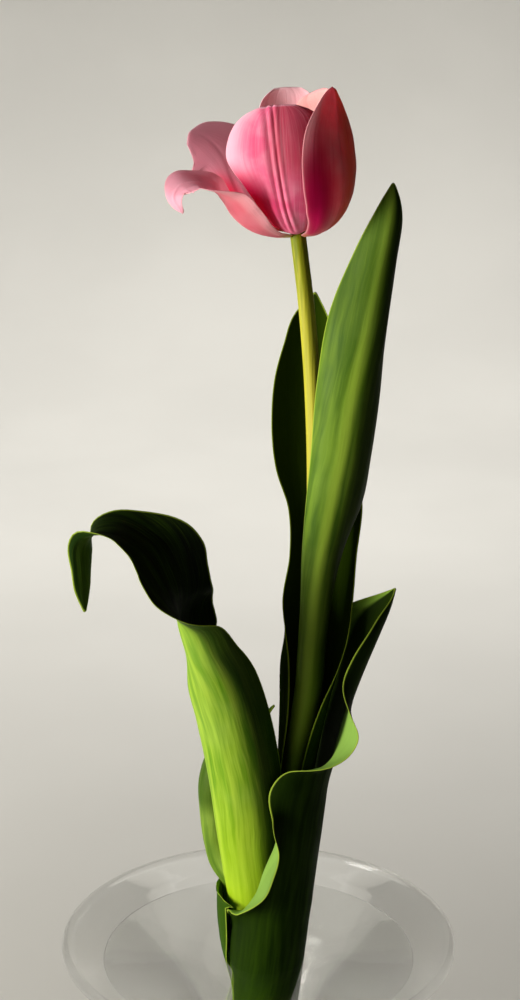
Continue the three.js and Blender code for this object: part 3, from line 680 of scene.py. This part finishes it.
def stem_material():
    """The stalk's green, yellower upwards and deeper just under the bloom, with fine lines."""
    shade = Shade("stem_skin")
    rise = shade.field("share")[1]
    place = shade.node("TexCoord", out="Object")
    stretched = shade.node("VectorMath", {0: place, 1: (900.0, 900.0, 22.0)}, operation="MULTIPLY")
    lines = shade.noise(stretched, detail=3.0)
    cloud = shade.noise(place, scale=34.0, detail=2.0)
    colour = shade.mix(shade.fade(rise, 0.55, 0.97), srgb(184, 172, 62), srgb(164, 162, 44))
    colour = shade.tint(colour, shade.fade(rise, 0.90, 0.985), (112, 122, 8))
    colour = shade.tint(colour, shade.fade(rise, 0.0, 0.35, 1, 0), (128, 140, 54))
    colour = shade.tint(colour, shade.fade(lines, 0.5, 0.75, 0, 0.4), (198, 184, 60))
    colour = shade.tint(colour, shade.fade(lines, 0.48, 0.25, 0, 0.45), (112, 108, 16))
    colour = shade.tint(colour, shade.fade(cloud, 0.45, 0.7, 0, 0.3), (134, 130, 26))
    normal = shade.bump(lines, 0.12)
    return shade.finish(sheet_shader(shade, colour, normal, 0.5, 0.0, 0.14))


def add_stem():
    """The stalk, faintly ribbed and uneven, with a rounded end inside the bloom."""
    u = np.linspace(0, 1, 240)
    centres = stem_track(u)
    axes = heading(stem_track, u)
    radii = STEM_RADIUS_FOOT + (STEM_RADIUS_TOP - STEM_RADIUS_FOOT) * u[:, None]
    turn = np.arange(STEM_SIDES) * 2 * math.pi / STEM_SIDES
    radii = radii + 0.05 * np.cos(9 * turn + 3 * u[:, None]) + 0.04 * np.cos(5 * turn)
    radii = radii + 0.12 * ripple(5, u[:, None] * 14, turn / 1.3)
    lean = math.radians(BLOOM_LEAN)
    axis = np.array([-math.sin(lean), 0, math.cos(lean)])
    for rise, narrow in ((1.2, 0.1), (2.4, 0.5), (RECEPTACLE, 1.2)):
        centres = np.vstack([centres, np.array(BLOOM_BASE) + axis * rise])
        axes = np.vstack([axes, axis])
        radii = np.vstack([radii, np.full(STEM_SIDES, STEM_RADIUS_TOP - narrow)])
    hand_over(loft("flower_stem", centres, axes, radii, stem_material()), "stem", "stem")


# -------- leaves


def sheath(z, radius, azimuth, wrap):
    """A station of a leaf's sheath: an arc around the stem at a height."""
    x, y = stem_at(z)
    c, s = toward(azimuth)
    half = [radius * math.radians(turn) for turn in wrap]
    return (x + radius * c, y + radius * s, z), (c, s, 0), half, wrap


TALL_LEAF = [
    sheath(98, 5.5, 255, (140, 140)),
    sheath(165, 5.6, 253, (138, 138)),
    sheath(230, 5.6, 250, (132, 130)),
    ((20.8, -5.3, 272), (-0.3, -1, 0), (12.5, 13.5), (122, 125)),
    ((23.4, -6, 302), (-0.15, -1, 0), (10.5, 13.5), (105, 118)),
    ((27.2, -8, 336), (0, -1, 0), (11.3, 15), (80, 90)),
    ((32, -10.5, 365), (0, -1, 0), (13.3, 19), (62, 72)),
    ((35.6, -11.8, 383), (0, -1, 0), (15.2, 18.5), (56, 76)),
    ((40.2, -12.6, 413), (-0.05, -1, 0), (17.7, 18), (50, 86)),
    ((46.5, -12, 443), (-0.1, -1, 0), (18.7, 15.5), (42, 112)),
    ((51.5, -9.8, 468), (-0.1, -1, 0), (13.3, 10.8), (38, 100)),
    ((55, -7.2, 486), (-0.1, -1, 0), (7.6, 7), (35, 75)),
    ((56, -5.5, 494), (-0.1, -1, 0), (4, 3.4), (30, 45)),
    ((56.3, -4.2, 499.5), (-0.1, -1, 0), (0.7, 0.7), (20, 20)),
]

BACK_LEAF = [
    sheath(80, 7.6, 70, (146, 146)),
    sheath(150, 7.8, 70, (146, 146)),
    sheath(205, 8, 70, (146, 146)),
    sheath(236, 8.4, 72, (146, 144)),
    ((22.3, 9.8, 262), (0.2, 1, 0), (24, 25.5), (132, 138), (0, 20)),
    ((24.5, 12.3, 283), (0.1, 1, 0), (22.5, 24.5), (100, 95), (0, 70)),
    ((26, 13.2, 299), (0, 1, 0), (21.5, 21.5), (85, 78), (0, 20)),
    ((26.8, 13.8, 312), (0, 1, 0), (20, 20), (70, 65)),
    ((28, 14.2, 332), (0, 1, 0), (18.5, 16.3), (55, 52)),
    ((27, 15, 356), (0.05, 1, 0), (22.3, 15), (50, 44)),
    ((25.5, 15.2, 375), (0.05, 1, 0), (21, 19.5), (48, 45)),
    ((24.5, 15, 398), (0, 1, 0), (19, 20.5), (48, 42)),
    ((24, 14, 416), (0, 1, 0), (16, 18.3), (46, 42)),
    ((24, 12.8, 430), (0, 1, 0), (11.5, 14), (42, 40)),
    ((24.2, 11.4, 442), (0, 1, 0), (6.2, 9.5), (35, 35)),
    ((24.5, 10.3, 451.5), (0, 1, 0), (0.7, 0.7), (20, 20)),
]

CURLED_LEAF = [
    sheath(46, 9.8, 235, (128, 128)),
    sheath(100, 10.4, 235, (120, 120)),
    ((-2, -9.8, 135), (-0.57, -0.82, 0), (18, 22), (88, 105)),
    ((-6, -12.8, 165), (-0.52, -0.85, 0), (17.5, 23.5), (68, 92)),
    ((-9.8, -16.5, 200), (-0.5, -0.86, 0), (20, 26), (64, 90)),
    ((-13.8, -20, 237), (-0.5, -0.86, 0), (21, 27.7), (62, 92)),
    ((-18.5, -22, 262), (-0.52, -0.85, 0), (20.5, 27.9), (60, 92)),
    ((-23.8, -23.5, 281), (-0.6, -0.8, 0), (20.5, 27), (62, 91)),
    ((-29.2, -25, 297), (-0.84, -0.53, 0), (31, 24.5), (115, 100)),
    ((-33.4, -26.2, 311), (-0.92, -0.4, -0.1), (30.5, 20.8), (112, 80)),
    ((-36.3, -27.4, 321), (-0.95, 0.15, -0.25), (24, 19), (84, 45)),
    ((-38.7, -28.2, 330), (-0.78, 0.45, -0.35), (22.5, 18.5), (58, 26)),
    ((-41.8, -28.8, 338), (-0.6, 0.6, -0.45), (23.5, 16.3), (50, 25)),
    ((-44.8, -29, 344), (-0.45, 0.65, -0.5), (22, 14), (46, 26)),
    ((-53, -29.5, 352.5), (-0.3, 0.5, -0.75), (14.5, 13.2), (38, 30)),
    ((-61.5, -30, 356.5), (-0.1, 0.35, -0.9), (10.5, 12), (34, 30)),
    ((-68.3, -31, 356), (0.4, 0.1, -0.85), (8.5, 10.5), (34, 30)),
    ((-74.6, -32, 350.5), (0.55, -0.8, -0.3), (7.5, 6.6), (34, 32)),
    ((-75.2, -33, 340), (0.6, -0.8, -0.1), (6, 4.6), (32, 32)),
    ((-74.6, -33.5, 331), (0.6, -0.8, 0.1), (4, 4), (28, 28)),
    ((-74.2, -34, 321.5), (0.6, -0.8, 0.2), (0.8, 0.8), (20, 20)),
]

FROM_STEM = (1, -0.17, 0)
CLASPING_LEAF = [
    sheath(30, 12.8, 350, (150, 180)),
    sheath(80, 14.4, 350, (152, 182)),
    sheath(118, 15.8, 350, (150, 190)),
    ((21.8, -4, 148), FROM_STEM, (52.1, 80.2), (155.7, 225.2)),
    ((23.6, -4, 164), FROM_STEM, (46.8, 86), (142.6, 226), (-40, 0)),
    ((24.2, -4, 168), FROM_STEM, (45.6, 86.6), (141, 224), (-88, 0)),
    ((24.4, -4, 169.8), FROM_STEM, (46, 63.5), (140, 160), (-106, 0)),
    ((24.6, -4, 172), FROM_STEM, (46, 50), (137, 126), (-125, 0)),
    ((25.5, -4, 180), FROM_STEM, (44.5, 40), (130, 114), (-175, 0)),
    ((26.8, -4, 191), FROM_STEM, (43, 36), (122, 110), (-185, 0)),
    ((28.6, -4, 205), FROM_STEM, (38.5, 33), (106, 98), (-140, 0)),
    ((29.9, -4, 216), FROM_STEM, (34, 32), (94, 92), (-50, 0)),
    ((31.6, -4, 229), FROM_STEM, (35, 31), (93, 88)),
    ((33.8, -4, 238), FROM_STEM, (28, 30), (70, 86)),
    ((35.4, -4, 245), FROM_STEM, (24, 29), (0, 86)),
    ((37.4, -4, 253), FROM_STEM, (21, 28), (-45, 90)),
    ((39.8, -4, 262), (1, -0.17, -0.1), (21, 27), (-45, 95)),
    ((42.4, -4, 270), (1, -0.1, -0.1), (18, 25.5), (5, 90)),
    ((45, -4, 278), (1, 0, -0.2), (17, 26), (60, 86)),
    ((49, -3.7, 289), (1, 0.1, -0.3), (16, 26), (80, 84)),
    ((54, -3.3, 302), (1, 0.2, -0.3), (12.5, 23), (80, 78)),
    ((58, -2.7, 312), (1, 0.2, -0.3), (8, 13), (70, 84)),
    ((60.8, -2, 321), (1, 0.2, -0.3), (0.8, 0.8), (30, 30)),
]

SHORT_LEAF = [
    sheath(60, 11.9, 175, (85, 62)),
    sheath(100, 12.6, 175, (85, 60)),
    ((-10.3, 1, 130), (-1, 0.05, 0), (17, 12), (85, 58)),
    ((-14.3, 4.2, 153), (-1, 0.05, 0), (12, 4), (76, 28)),
    ((-16.1, 5, 166), (-0.92, -0.38, 0), (1.6, 3.6), (40, 14)),
    ((-16.4, 4.9, 173.5), (-0.92, -0.38, 0), (1.5, 3.6), (40, 14)),
    ((-19, 5.8, 177), (-0.9, -0.43, 0), (2.4, 6), (44, 18)),
    ((-22, 8, 181.5), (-0.87, -0.5, 0), (5, 9), (50, 42)),
    ((-24.1, 9.4, 190), (-0.87, -0.5, 0), (7.5, 11), (50, 84)),
    ((-26, 10.5, 207), (-0.85, -0.5, 0.1), (11, 12), (62, 95)),
    ((-26.4, 10.5, 221), (-0.85, -0.45, 0.2), (11, 12), (58, 90)),
    ((-22, 11.5, 237), (-0.75, -0.2, 0.6), (12, 10.5), (48, 75)),
    ((-14, 11, 247.5), (-0.6, 0, 0.8), (9.5, 9), (40, 45)),
    ((-1.5, 9.8, 252.5), (-0.6, 0, 0.8), (8, 7.5), (30, 30)),
    ((7.2, 8.5, 261), (-0.8, 0, 0.5), (0.8, 0.8), (20, 20)),
]


RIB_WIDTH, RIB_LENGTH = 1.9, 70
BROAD_RIB_WIDTH, BROAD_RIB_LENGTH = 4.3, 55
KEEL_WIDTH, KEEL_HEIGHT = 1.4, 0.3


def leaf_relief(seed, ribs):
    """Parallel ribs along a leaf, as high as ribs says, and a keel along its midrib."""
    def relief(across, along, share, rise):
        fade = smoothstep(1 - rise, 0, 0.06) * smoothstep(1 - np.abs(share), 0, 0.12)
        lift = ribs * ripple(seed, across / RIB_WIDTH + RIPPLE_START, along / RIB_LENGTH)
        broad = ripple(seed + 1, across / BROAD_RIB_WIDTH + RIPPLE_START,
                       along / BROAD_RIB_LENGTH)
        lift = lift + ribs * 1.2 * broad
        swell = KEEL_HEIGHT * np.exp(-(across / KEEL_WIDTH) ** 2)
        return lift * fade, swell * fade
    return relief


LEAF_PITCH = 1.6


def add_leaf(name, node, stations, relief, cells, *colours, **look):
    skin = leaf_material(f"{name}_skin", *colours, **look)
    piece = add_blade(name, stations, skin, LEAF_THICKNESS, LEAF_EDGE, relief, LEAF_PITCH, cells)
    hand_over(piece, "leaf", node)


def add_leaves():
    """The five leaves. Their colours are deep, light, inner and base."""
    add_leaf("tall_leaf", "leaf_tall", TALL_LEAF, leaf_relief(3, 0.10), 24,
             (60, 92, 12), (100, 130, 32), (26, 44, 8), (108, 128, 10),
             wax=0.12, seed=1.0, yellow=(0.15, 0.62), midrib=(146, 174, 56),
             patches=(("outer", "rise", 0.74, 0.92, 0.6, (48, 74, 12)),
                      # painted shade: the right half, turned from the lamp, is darkened
                      ("outer", "share", 0.15, 0.55, 0.75, (18, 28, 3))))
    add_leaf("back_leaf", "leaf_back", BACK_LEAF, leaf_relief(11, 0.06), 24,
             (26, 42, 7), (46, 64, 14), (38, 56, 5), (40, 58, 7),
             wax=0.05, seed=7.0, specular=0.0)
    add_leaf("curled_leaf", "leaf_curled", CURLED_LEAF, leaf_relief(19, 0.13), 24,
             (80, 122, 8), (138, 166, 46), (9, 19, 3), (146, 174, 16),
             wax=0.2, seed=12.0, yellow=(0.28, 0.56), grain=0.2,
             # painted shade: the right half, turned from the lamp, and the hanging tip, which faces
             # away from it, are darkened
             patches=(("outer", "share", 0.29, 0.62, 0.87, (14, 40, 2)),
                      ("outer", "rise", 0.86, 0.92, 0.85, (24, 48, 4))))
    add_leaf("clasping_leaf", "leaf_clasping", CLASPING_LEAF, leaf_relief(27, 0.07), 32,
             (20, 38, 2), (40, 62, 5), (118, 152, 66), (56, 80, 4),
             wax=0.0, through=0.1, seed=21.0, specular=0.03,
             patches=(("outer", "share", 0.62, 0.8, 0.8, (44, 72, 7)),
                      # painted shadow: the left wing, which the curled leaf shades, is darkened
                      ("outer", "share", -0.5, -0.85, 0.6, (16, 30, 1)),
                      # painted shade: the inside of the channel and the top of the inner face are
                      # darkened
                      ("inner", "share", -0.5, -0.3, 0.95, (14, 28, 3)),
                      ("inner", "rise", 0.80, 0.86, 0.9, (34, 52, 5)),
                      # painted light: the far margin's inner face is made paler, as if lit through
                      # the wall
                      ("inner", "share", 0.6, 0.75, 1.0, (140, 180, 64))))
    add_leaf("short_leaf", "leaf_short", SHORT_LEAF, leaf_relief(35, 0.06), 16,
             (66, 96, 16), (112, 138, 40), (30, 52, 8), (72, 102, 12),
             wax=0.3, seed=31.0, patches=(("outer", "rise", 0.66, 0.72, 0.8, (44, 70, 3)),))


# -------- bloom


def bloom_place(points):
    """Moves points from the bloom's own frame to where it leans on the stem."""
    lean = math.radians(-BLOOM_LEAN)
    c, s = math.cos(lean), math.sin(lean)
    turn = np.array([[c, 0, s], [0, 1, 0], [-s, 0, c]])
    return points @ turn.T + np.array(BLOOM_BASE)


CUP_BELLY = 10  # the height below which the petals' outer faces look down


def on_cup(azimuth, place, half, cup):
    """A station of a petal that follows the cup, in the bloom's own frame."""
    radius, height = place
    c, s = toward(azimuth)
    back = (c, s, -1.5 if height < CUP_BELLY else -0.1)
    return (radius * c, radius * s, height), back, half, cup


OUTER_RIGHT = [
    on_cup(322, (4.2, 0.5), (3.2, 3.2), (35, 35)),
    on_cup(321, (11, 1.6), (7.5, 7.5), (40, 40)),
    on_cup(320, (18.5, 6), (12.5, 12), (45, 45)),
    on_cup(319, (23.8, 14), (17, 15), (40, 42)),
    on_cup(319, (26, 24), (19.5, 16.5), (38, 40)),
    on_cup(319, (26.2, 35), (19.5, 16.5), (36, 38)),
    on_cup(319, (25.4, 45), (16.5, 14.5), (34, 36)),
    on_cup(321, (24.4, 53.5), (10.5, 10), (32, 34)),
    on_cup(324, (23, 59), (4.8, 5), (25, 25)),
    on_cup(326, (22.2, 61), (1.5, 1.5), (10, 10)),
]
OUTER_BACK = [
    on_cup(94, (4.2, 0.5), (3.2, 3.2), (35, 35)),
    on_cup(94, (11, 1.6), (7.5, 7.5), (40, 40)),
    on_cup(94, (18.5, 6), (12, 12), (45, 45)),
    on_cup(93, (24, 14), (16, 12), (42, 40)),
    on_cup(93, (26.4, 24), (18.5, 12.5), (40, 38)),
    on_cup(94, (26.4, 36), (18.5, 13), (38, 36)),
    on_cup(95, (24.6, 47), (17, 13), (36, 34)),
    on_cup(97, (21.8, 55), (14, 11), (34, 30)),
    on_cup(97, (19.6, 59.5), (11, 7), (25, 20)),
    on_cup(97, (19, 61), (8, 4), (15, 10)),
]
OUTER_LEFT = [
    ((-3.85, -1.7, 0.5), (-0.3, -0.2, -1), (3.2, 3.2), (35, 35)),
    ((-11, -5, 1.6), (-0.3, -0.2, -1), (7.5, 7.5), (35, 35)),
    ((-18, -8.5, 4.6), (-0.5, -0.3, -0.8), (12, 12), (42, 40)),
    ((-24.5, -11.5, 11), (-0.7, -0.4, -0.5), (17, 14.5), (52, 40)),
    ((-29.5, -13.5, 18.5), (-0.7, -0.3, -0.5), (17, 15.5), (62, 32)),
    ((-35, -14.5, 24.7), (-0.5, 0.08, -0.9), (12.5, 14.5), (36, 14)),
    ((-41, -15, 27.3), (-0.14, 0.24, -1), (10.5, 13), (12, 12)),
    ((-47, -16.5, 26.3), (0.4, 0.5, -0.66), (9.5, 11), (10, 15)),
    ((-49.8, -18.5, 22.3), (0.5, 0.6, -0.3), (4, 8), (15, 18)),
    ((-48.6, -20, 18.5), (0.6, 0.6, 0.1), (2.4, 4.5), (15, 15)),
    ((-46.4, -21, 16), (0.6, 0.6, 0.3), (0.8, 0.8), (10, 10)),
]
INNER_FRONT = [
    on_cup(262, (3.5, 2), (2.6, 2.6), (35, 35)),
    on_cup(262, (10, 3.2), (7, 7), (40, 40)),
    on_cup(261, (16.5, 8), (12.5, 13), (48, 48)),
    on_cup(260, (21.3, 15.5), (17.5, 18), (50, 52)),
    on_cup(260, (23.6, 22.5), (21, 21.5), (48, 55)),
    on_cup(260, (24.4, 29.5), (25.5, 23), (45, 55)),
    on_cup(260, (24.4, 35.5), (28, 23.5), (44, 55)),
    on_cup(260, (23.4, 43), (27.5, 22), (44, 52)),
    on_cup(260, (22, 49), (24.8, 18.5), (42, 45)),
    on_cup(260, (21.1, 52.4), (21, 15.5), (38, 38)),
    on_cup(260, (20.4, 54.7), (15.5, 11), (30, 30)),
    on_cup(260, (20, 56), (9, 6), (18, 15)),
]
INNER_RIGHT = [
    on_cup(36, (3.5, 2), (2.6, 2.6), (35, 35)),
    on_cup(36, (10, 3.2), (7, 7), (40, 40)),
    on_cup(36, (16.5, 8), (12.5, 12.5), (48, 48)),
    on_cup(36, (21.5, 15.5), (17, 17), (50, 50)),
    on_cup(36, (24, 25), (20, 20), (52, 52)),
    on_cup(37, (24.2, 36), (20.5, 19.5), (50, 50)),
    on_cup(39, (22.8, 46), (18, 17), (46, 46)),
    on_cup(43, (20, 54.5), (12.5, 14), (40, 40)),
    on_cup(46, (18.2, 58), (8, 11.5), (25, 25)),
    on_cup(47, (17.8, 59.2), (4, 8), (10, 15)),
]
INNER_LEFT = [
    ((-3.1, 1.65, 2), (-0.3, 0.2, -1), (2.6, 2.6), (35, 35)),
    ((-9, 4.4, 3.8), (-0.3, 0.2, -1), (6.5, 7), (40, 40)),
    ((-16.5, 8.5, 8), (-0.6, 0.3, -0.8), (9.5, 11), (45, 48)),
    ((-24, 12.3, 15.5), (-0.8, 0.4, -0.4), (12, 8.5), (45, 40)),
    ((-28.3, 14, 24.5), (-0.7, 0.6, -0.4), (14, 12), (38, 34)),
    ((-32.5, 15.5, 34.5), (-0.6, 0.7, -0.4), (19, 19), (32, 25)),
    ((-38.2, 15, 40.5), (-0.5, 0.7, -0.5), (11.5, 16.5), (25, 18)),
    ((-43.8, 13.5, 43.3), (-0.4, 0.7, -0.6), (3, 3.5), (10, 10)),
]


# heights of the petals' fine lines, broad swells and waved edge
PETAL_LINES, PETAL_SWELLS, PETAL_WAVE = 0.03, 0.18, 0.25


def petal_relief(seed, creases=()):
    """Fine lines, broad swells and a waved edge. A crease is its distance from the midrib at the
    foot and at the tip, its half width and its height."""
    def relief(across, along, share, rise):
        fade = smoothstep(rise, 0, 0.12)
        lift = PETAL_LINES * ripple(seed, share * 22 + RIPPLE_START, rise * 3)
        lift = lift + PETAL_SWELLS * ripple(seed + 1, share * 4 + RIPPLE_START, rise * 4)
        wave = PETAL_WAVE * ripple(seed + 2, np.sign(share) * 8 + RIPPLE_START, rise * 9)
        lift = lift + wave * smoothstep(np.abs(share), 0.6, 1)
        for foot, tip, half, height in creases:
            middle = foot + (tip - foot) * rise
            crease = height * np.exp(-((across - middle) / half) ** 2)
            lift = lift + crease * smoothstep(rise, 0.05, 0.3)
        return lift * fade, 0 * share
    return relief


PETAL_PITCH = 0.8
PETAL_CELLS = 48


def add_petal(name, node, stations, relief, *colours, **look):
    skin = petal_material(f"{name}_skin", *colours, **look)
    piece = add_blade(name, stations, skin, PETAL_THICKNESS, PETAL_EDGE, relief, PETAL_PITCH,
                      PETAL_CELLS, place=bloom_place)
    hand_over(piece, "petal", node)


def add_petals():
    """Three inner and three outer petals. Their colours are body, edge, deep, foot and inner."""
    cream = (220, 196, 128)
    add_petal("front_petal", "tepal_inner_front", INNER_FRONT,
              petal_relief(51, [(-0.5, -5.0, 0.8, 0.55), (2.2, -2.6, 0.8, 0.4),
                                (0.9, -3.8, 0.7, -0.4), (-1.3, -6.8, 1.0, -0.5),
                                (-2.8, -9.5, 1.6, 0.35)]),
              (236, 96, 142), (255, 204, 222), (224, 0, 92), cream, (236, 120, 150),
              blush=(-0.95, 0.34, 0.85, 0.36, 1.0), through=0.35, seed=1.0,
              # painted shade: the upper right part, beyond the crease and turned from the lamp, is
              # darkened
              side=((204, 78, 102), -0.4, 0.0, 0.4, 0.7))
    # painted light: this petal's pinks are its own, made brighter to stand in for light passing
    # through the bloom
    add_petal("right_petal", "tepal_outer_right", OUTER_RIGHT,
              petal_relief(61, [(0.8, 0.0, 1.1, -0.5)]),
              (255, 144, 158), (255, 198, 206), (222, 3, 102), (226, 150, 120), (236, 110, 128),
              blush=(-0.7, 0.36, 0.6, 0.52, 1.0), through=0.5, seed=11.0,
              # painted shade with a painted warm reflection: the right half is turned a darker
              # orange-brown
              side=((232, 122, 88), -0.1, 0.3, -1, -0.5), edge_width=(0.6, 1.0))
    add_petal("left_petal", "tepal_outer_left", OUTER_LEFT,
              petal_relief(71, [(0.0, 0.0, 0.7, -0.35)]),
              (230, 128, 142), (255, 204, 210), (222, 100, 124), cream, (255, 196, 216),
              blush=(0.2, 0.3, 0.6, 0.3, 0.5), through=0.5, seed=21.0)
    # painted light: this petal's pinks are its own, made brighter to stand in for light passing
    # through the bloom
    add_petal("back_petal", "tepal_outer_back", OUTER_BACK, petal_relief(81),
              (255, 208, 218), (255, 220, 228), (250, 180, 200), cream, (255, 214, 222),
              through=0.3, seed=31.0)
    add_petal("inner_right_petal", "tepal_inner_right", INNER_RIGHT, petal_relief(91),
              (236, 132, 148), (248, 184, 190), (214, 70, 100), cream, (255, 204, 200),
              through=0.35, seed=41.0)
    # painted light: this petal's pinks are its own, made brighter to stand in for light passing
    # through the bloom
    add_petal("inner_left_petal", "tepal_inner_left", INNER_LEFT,
              petal_relief(101, [(0.0, -4.0, 0.7, -0.3)]),
              (244, 190, 204), (252, 210, 220), (250, 24, 112), cream, (244, 196, 210),
              blush=(0.3, 0.26, 1.0, 0.46, 0.95), through=0.65, seed=51.0)


def grain_material(name, low, high, fine, relief, rough=0.6):
    """A matt surface mottled between two colours."""
    shade = Shade(name)
    place = shade.node("TexCoord", out="Object")
    grain = shade.noise(place, scale=fine, detail=4.0, roughness=0.6)
    colour = shade.mix(shade.fade(grain, 0.35, 0.65), srgb(*low), srgb(*high))
    return shade.finish(sheet_shader(shade, colour, shade.bump(grain, relief), rough, 0.0, 0.3))


PISTIL_SIDES = 48
STAMEN_SIDES = 20
STAMEN_CIRCLE = 2.82  # how far from the bloom's axis the stamens would start at its base
STAMEN_SPREAD = 0.19  # how far they move outward to a unit of height


def risen(stages, count):
    """Rows on a smooth track through some stages, each of which ends in its height."""
    stages = np.array(stages)
    knots = (stages[:, -1] - stages[0, -1]) / (stages[-1, -1] - stages[0, -1])
    return smooth_track(knots, stages)(np.linspace(0, 1, count))


def add_upright(name, slot, node, centres, radii, skin):
    """A round piece that stands along the bloom's axis."""
    axes = np.tile([0.0, 0, 1], (len(centres), 1))
    hand_over(loft(name, centres, axes, radii, skin, place=bloom_place), slot, node)


def add_pistil():
    """The ovary with its three-lobed stigma. A stage is a radius, the lobes' depth as a share of
    it, and a height."""
    fine = risen([(2.4, 0.12, 0), (3.1, 0.15, 4), (3.2, 0.15, 14), (2.6, 0.15, 19),
                  (3, 0.3, 20.5), (3.6, 0.4, 22), (2.4, 0.35, 23.5)], 60)
    turn = np.arange(PISTIL_SIDES) * 2 * math.pi / PISTIL_SIDES
    radii = fine[:, :1] * (1 + fine[:, 1:2] * np.cos(3 * turn))
    centres = np.column_stack([np.zeros((len(fine), 2)), RECEPTACLE + GAP + fine[:, 2]])
    skin = grain_material("pistil_skin", (150, 164, 96), (206, 206, 140), 900.0, 0.1)
    add_upright("green_pistil", "pistil", "pistil", centres, radii, skin)


def add_stamens():
    """Six stamens, each a thread below a four-lobed anther. A stage is a radius and a height."""
    fine = risen([(0.7, 3.6), (0.8, 10), (0.7, 14), (1.3, 15), (1.6, 18), (1.5, 23), (0.6, 26)], 50)
    radius, height = fine[:, :1], fine[:, 1]
    anther = smoothstep(height, 14, 15.5)[:, None]
    out = STAMEN_CIRCLE + height * STAMEN_SPREAD
    turn = np.arange(STAMEN_SIDES) * 2 * math.pi / STAMEN_SIDES
    skin = grain_material("stamen_skin", (42, 26, 48), (92, 70, 96), 1400.0, 0.15, 0.8)
    for k in range(STAMEN_COUNT):
        azimuth = 30 + 360 * k / STAMEN_COUNT
        c, s = toward(azimuth)
        lobes = 1 - 0.14 * anther * np.cos(4 * (turn - math.radians(azimuth))) ** 2
        add_upright(f"dark_stamen_{k + 1}", "stamen", f"stamen_{k + 1}",
                    np.column_stack([out * c, out * s, height]), radius * lobes, skin)


# -------- floor


def add_floor():
    """A plain pale sheet that lies under the vase and sweeps up far behind it."""
    width, front, bend, radius, top = 6000, -4000, 1500, 900, 4200
    profile = [(front, 0), (bend, 0)]
    for t in np.radians(np.linspace(6, 90, 15)):
        profile.append((bend + radius * math.sin(t), radius * (1 - math.cos(t))))
    profile.append((bend + radius, top))
    points = [(x, y, z) for y, z in profile for x in (-width, width)]
    faces = [(2 * i, 2 * i + 1, 2 * i + 3, 2 * i + 2) for i in range(len(profile) - 1)]
    shade = Shade("pale_paper")
    place = shade.node("TexCoord", out="Object")
    cloud = shade.noise(place, scale=2.5, detail=3.0)
    colour = shade.mix(shade.fade(cloud, 0.3, 0.7), srgb(206, 204, 198), srgb(212, 210, 204))
    paper = shade.finish(shade.node("BsdfPrincipled", {
        "Base Color": colour, "Roughness": 0.9, "Specular IOR Level": 0.2}))
    add_mesh("paper_floor", points, faces, paper)


add_camera()
add_lights()
add_floor()
add_vase()
add_water()
add_stem()
add_leaves()
add_petals()
add_pistil()
add_stamens()
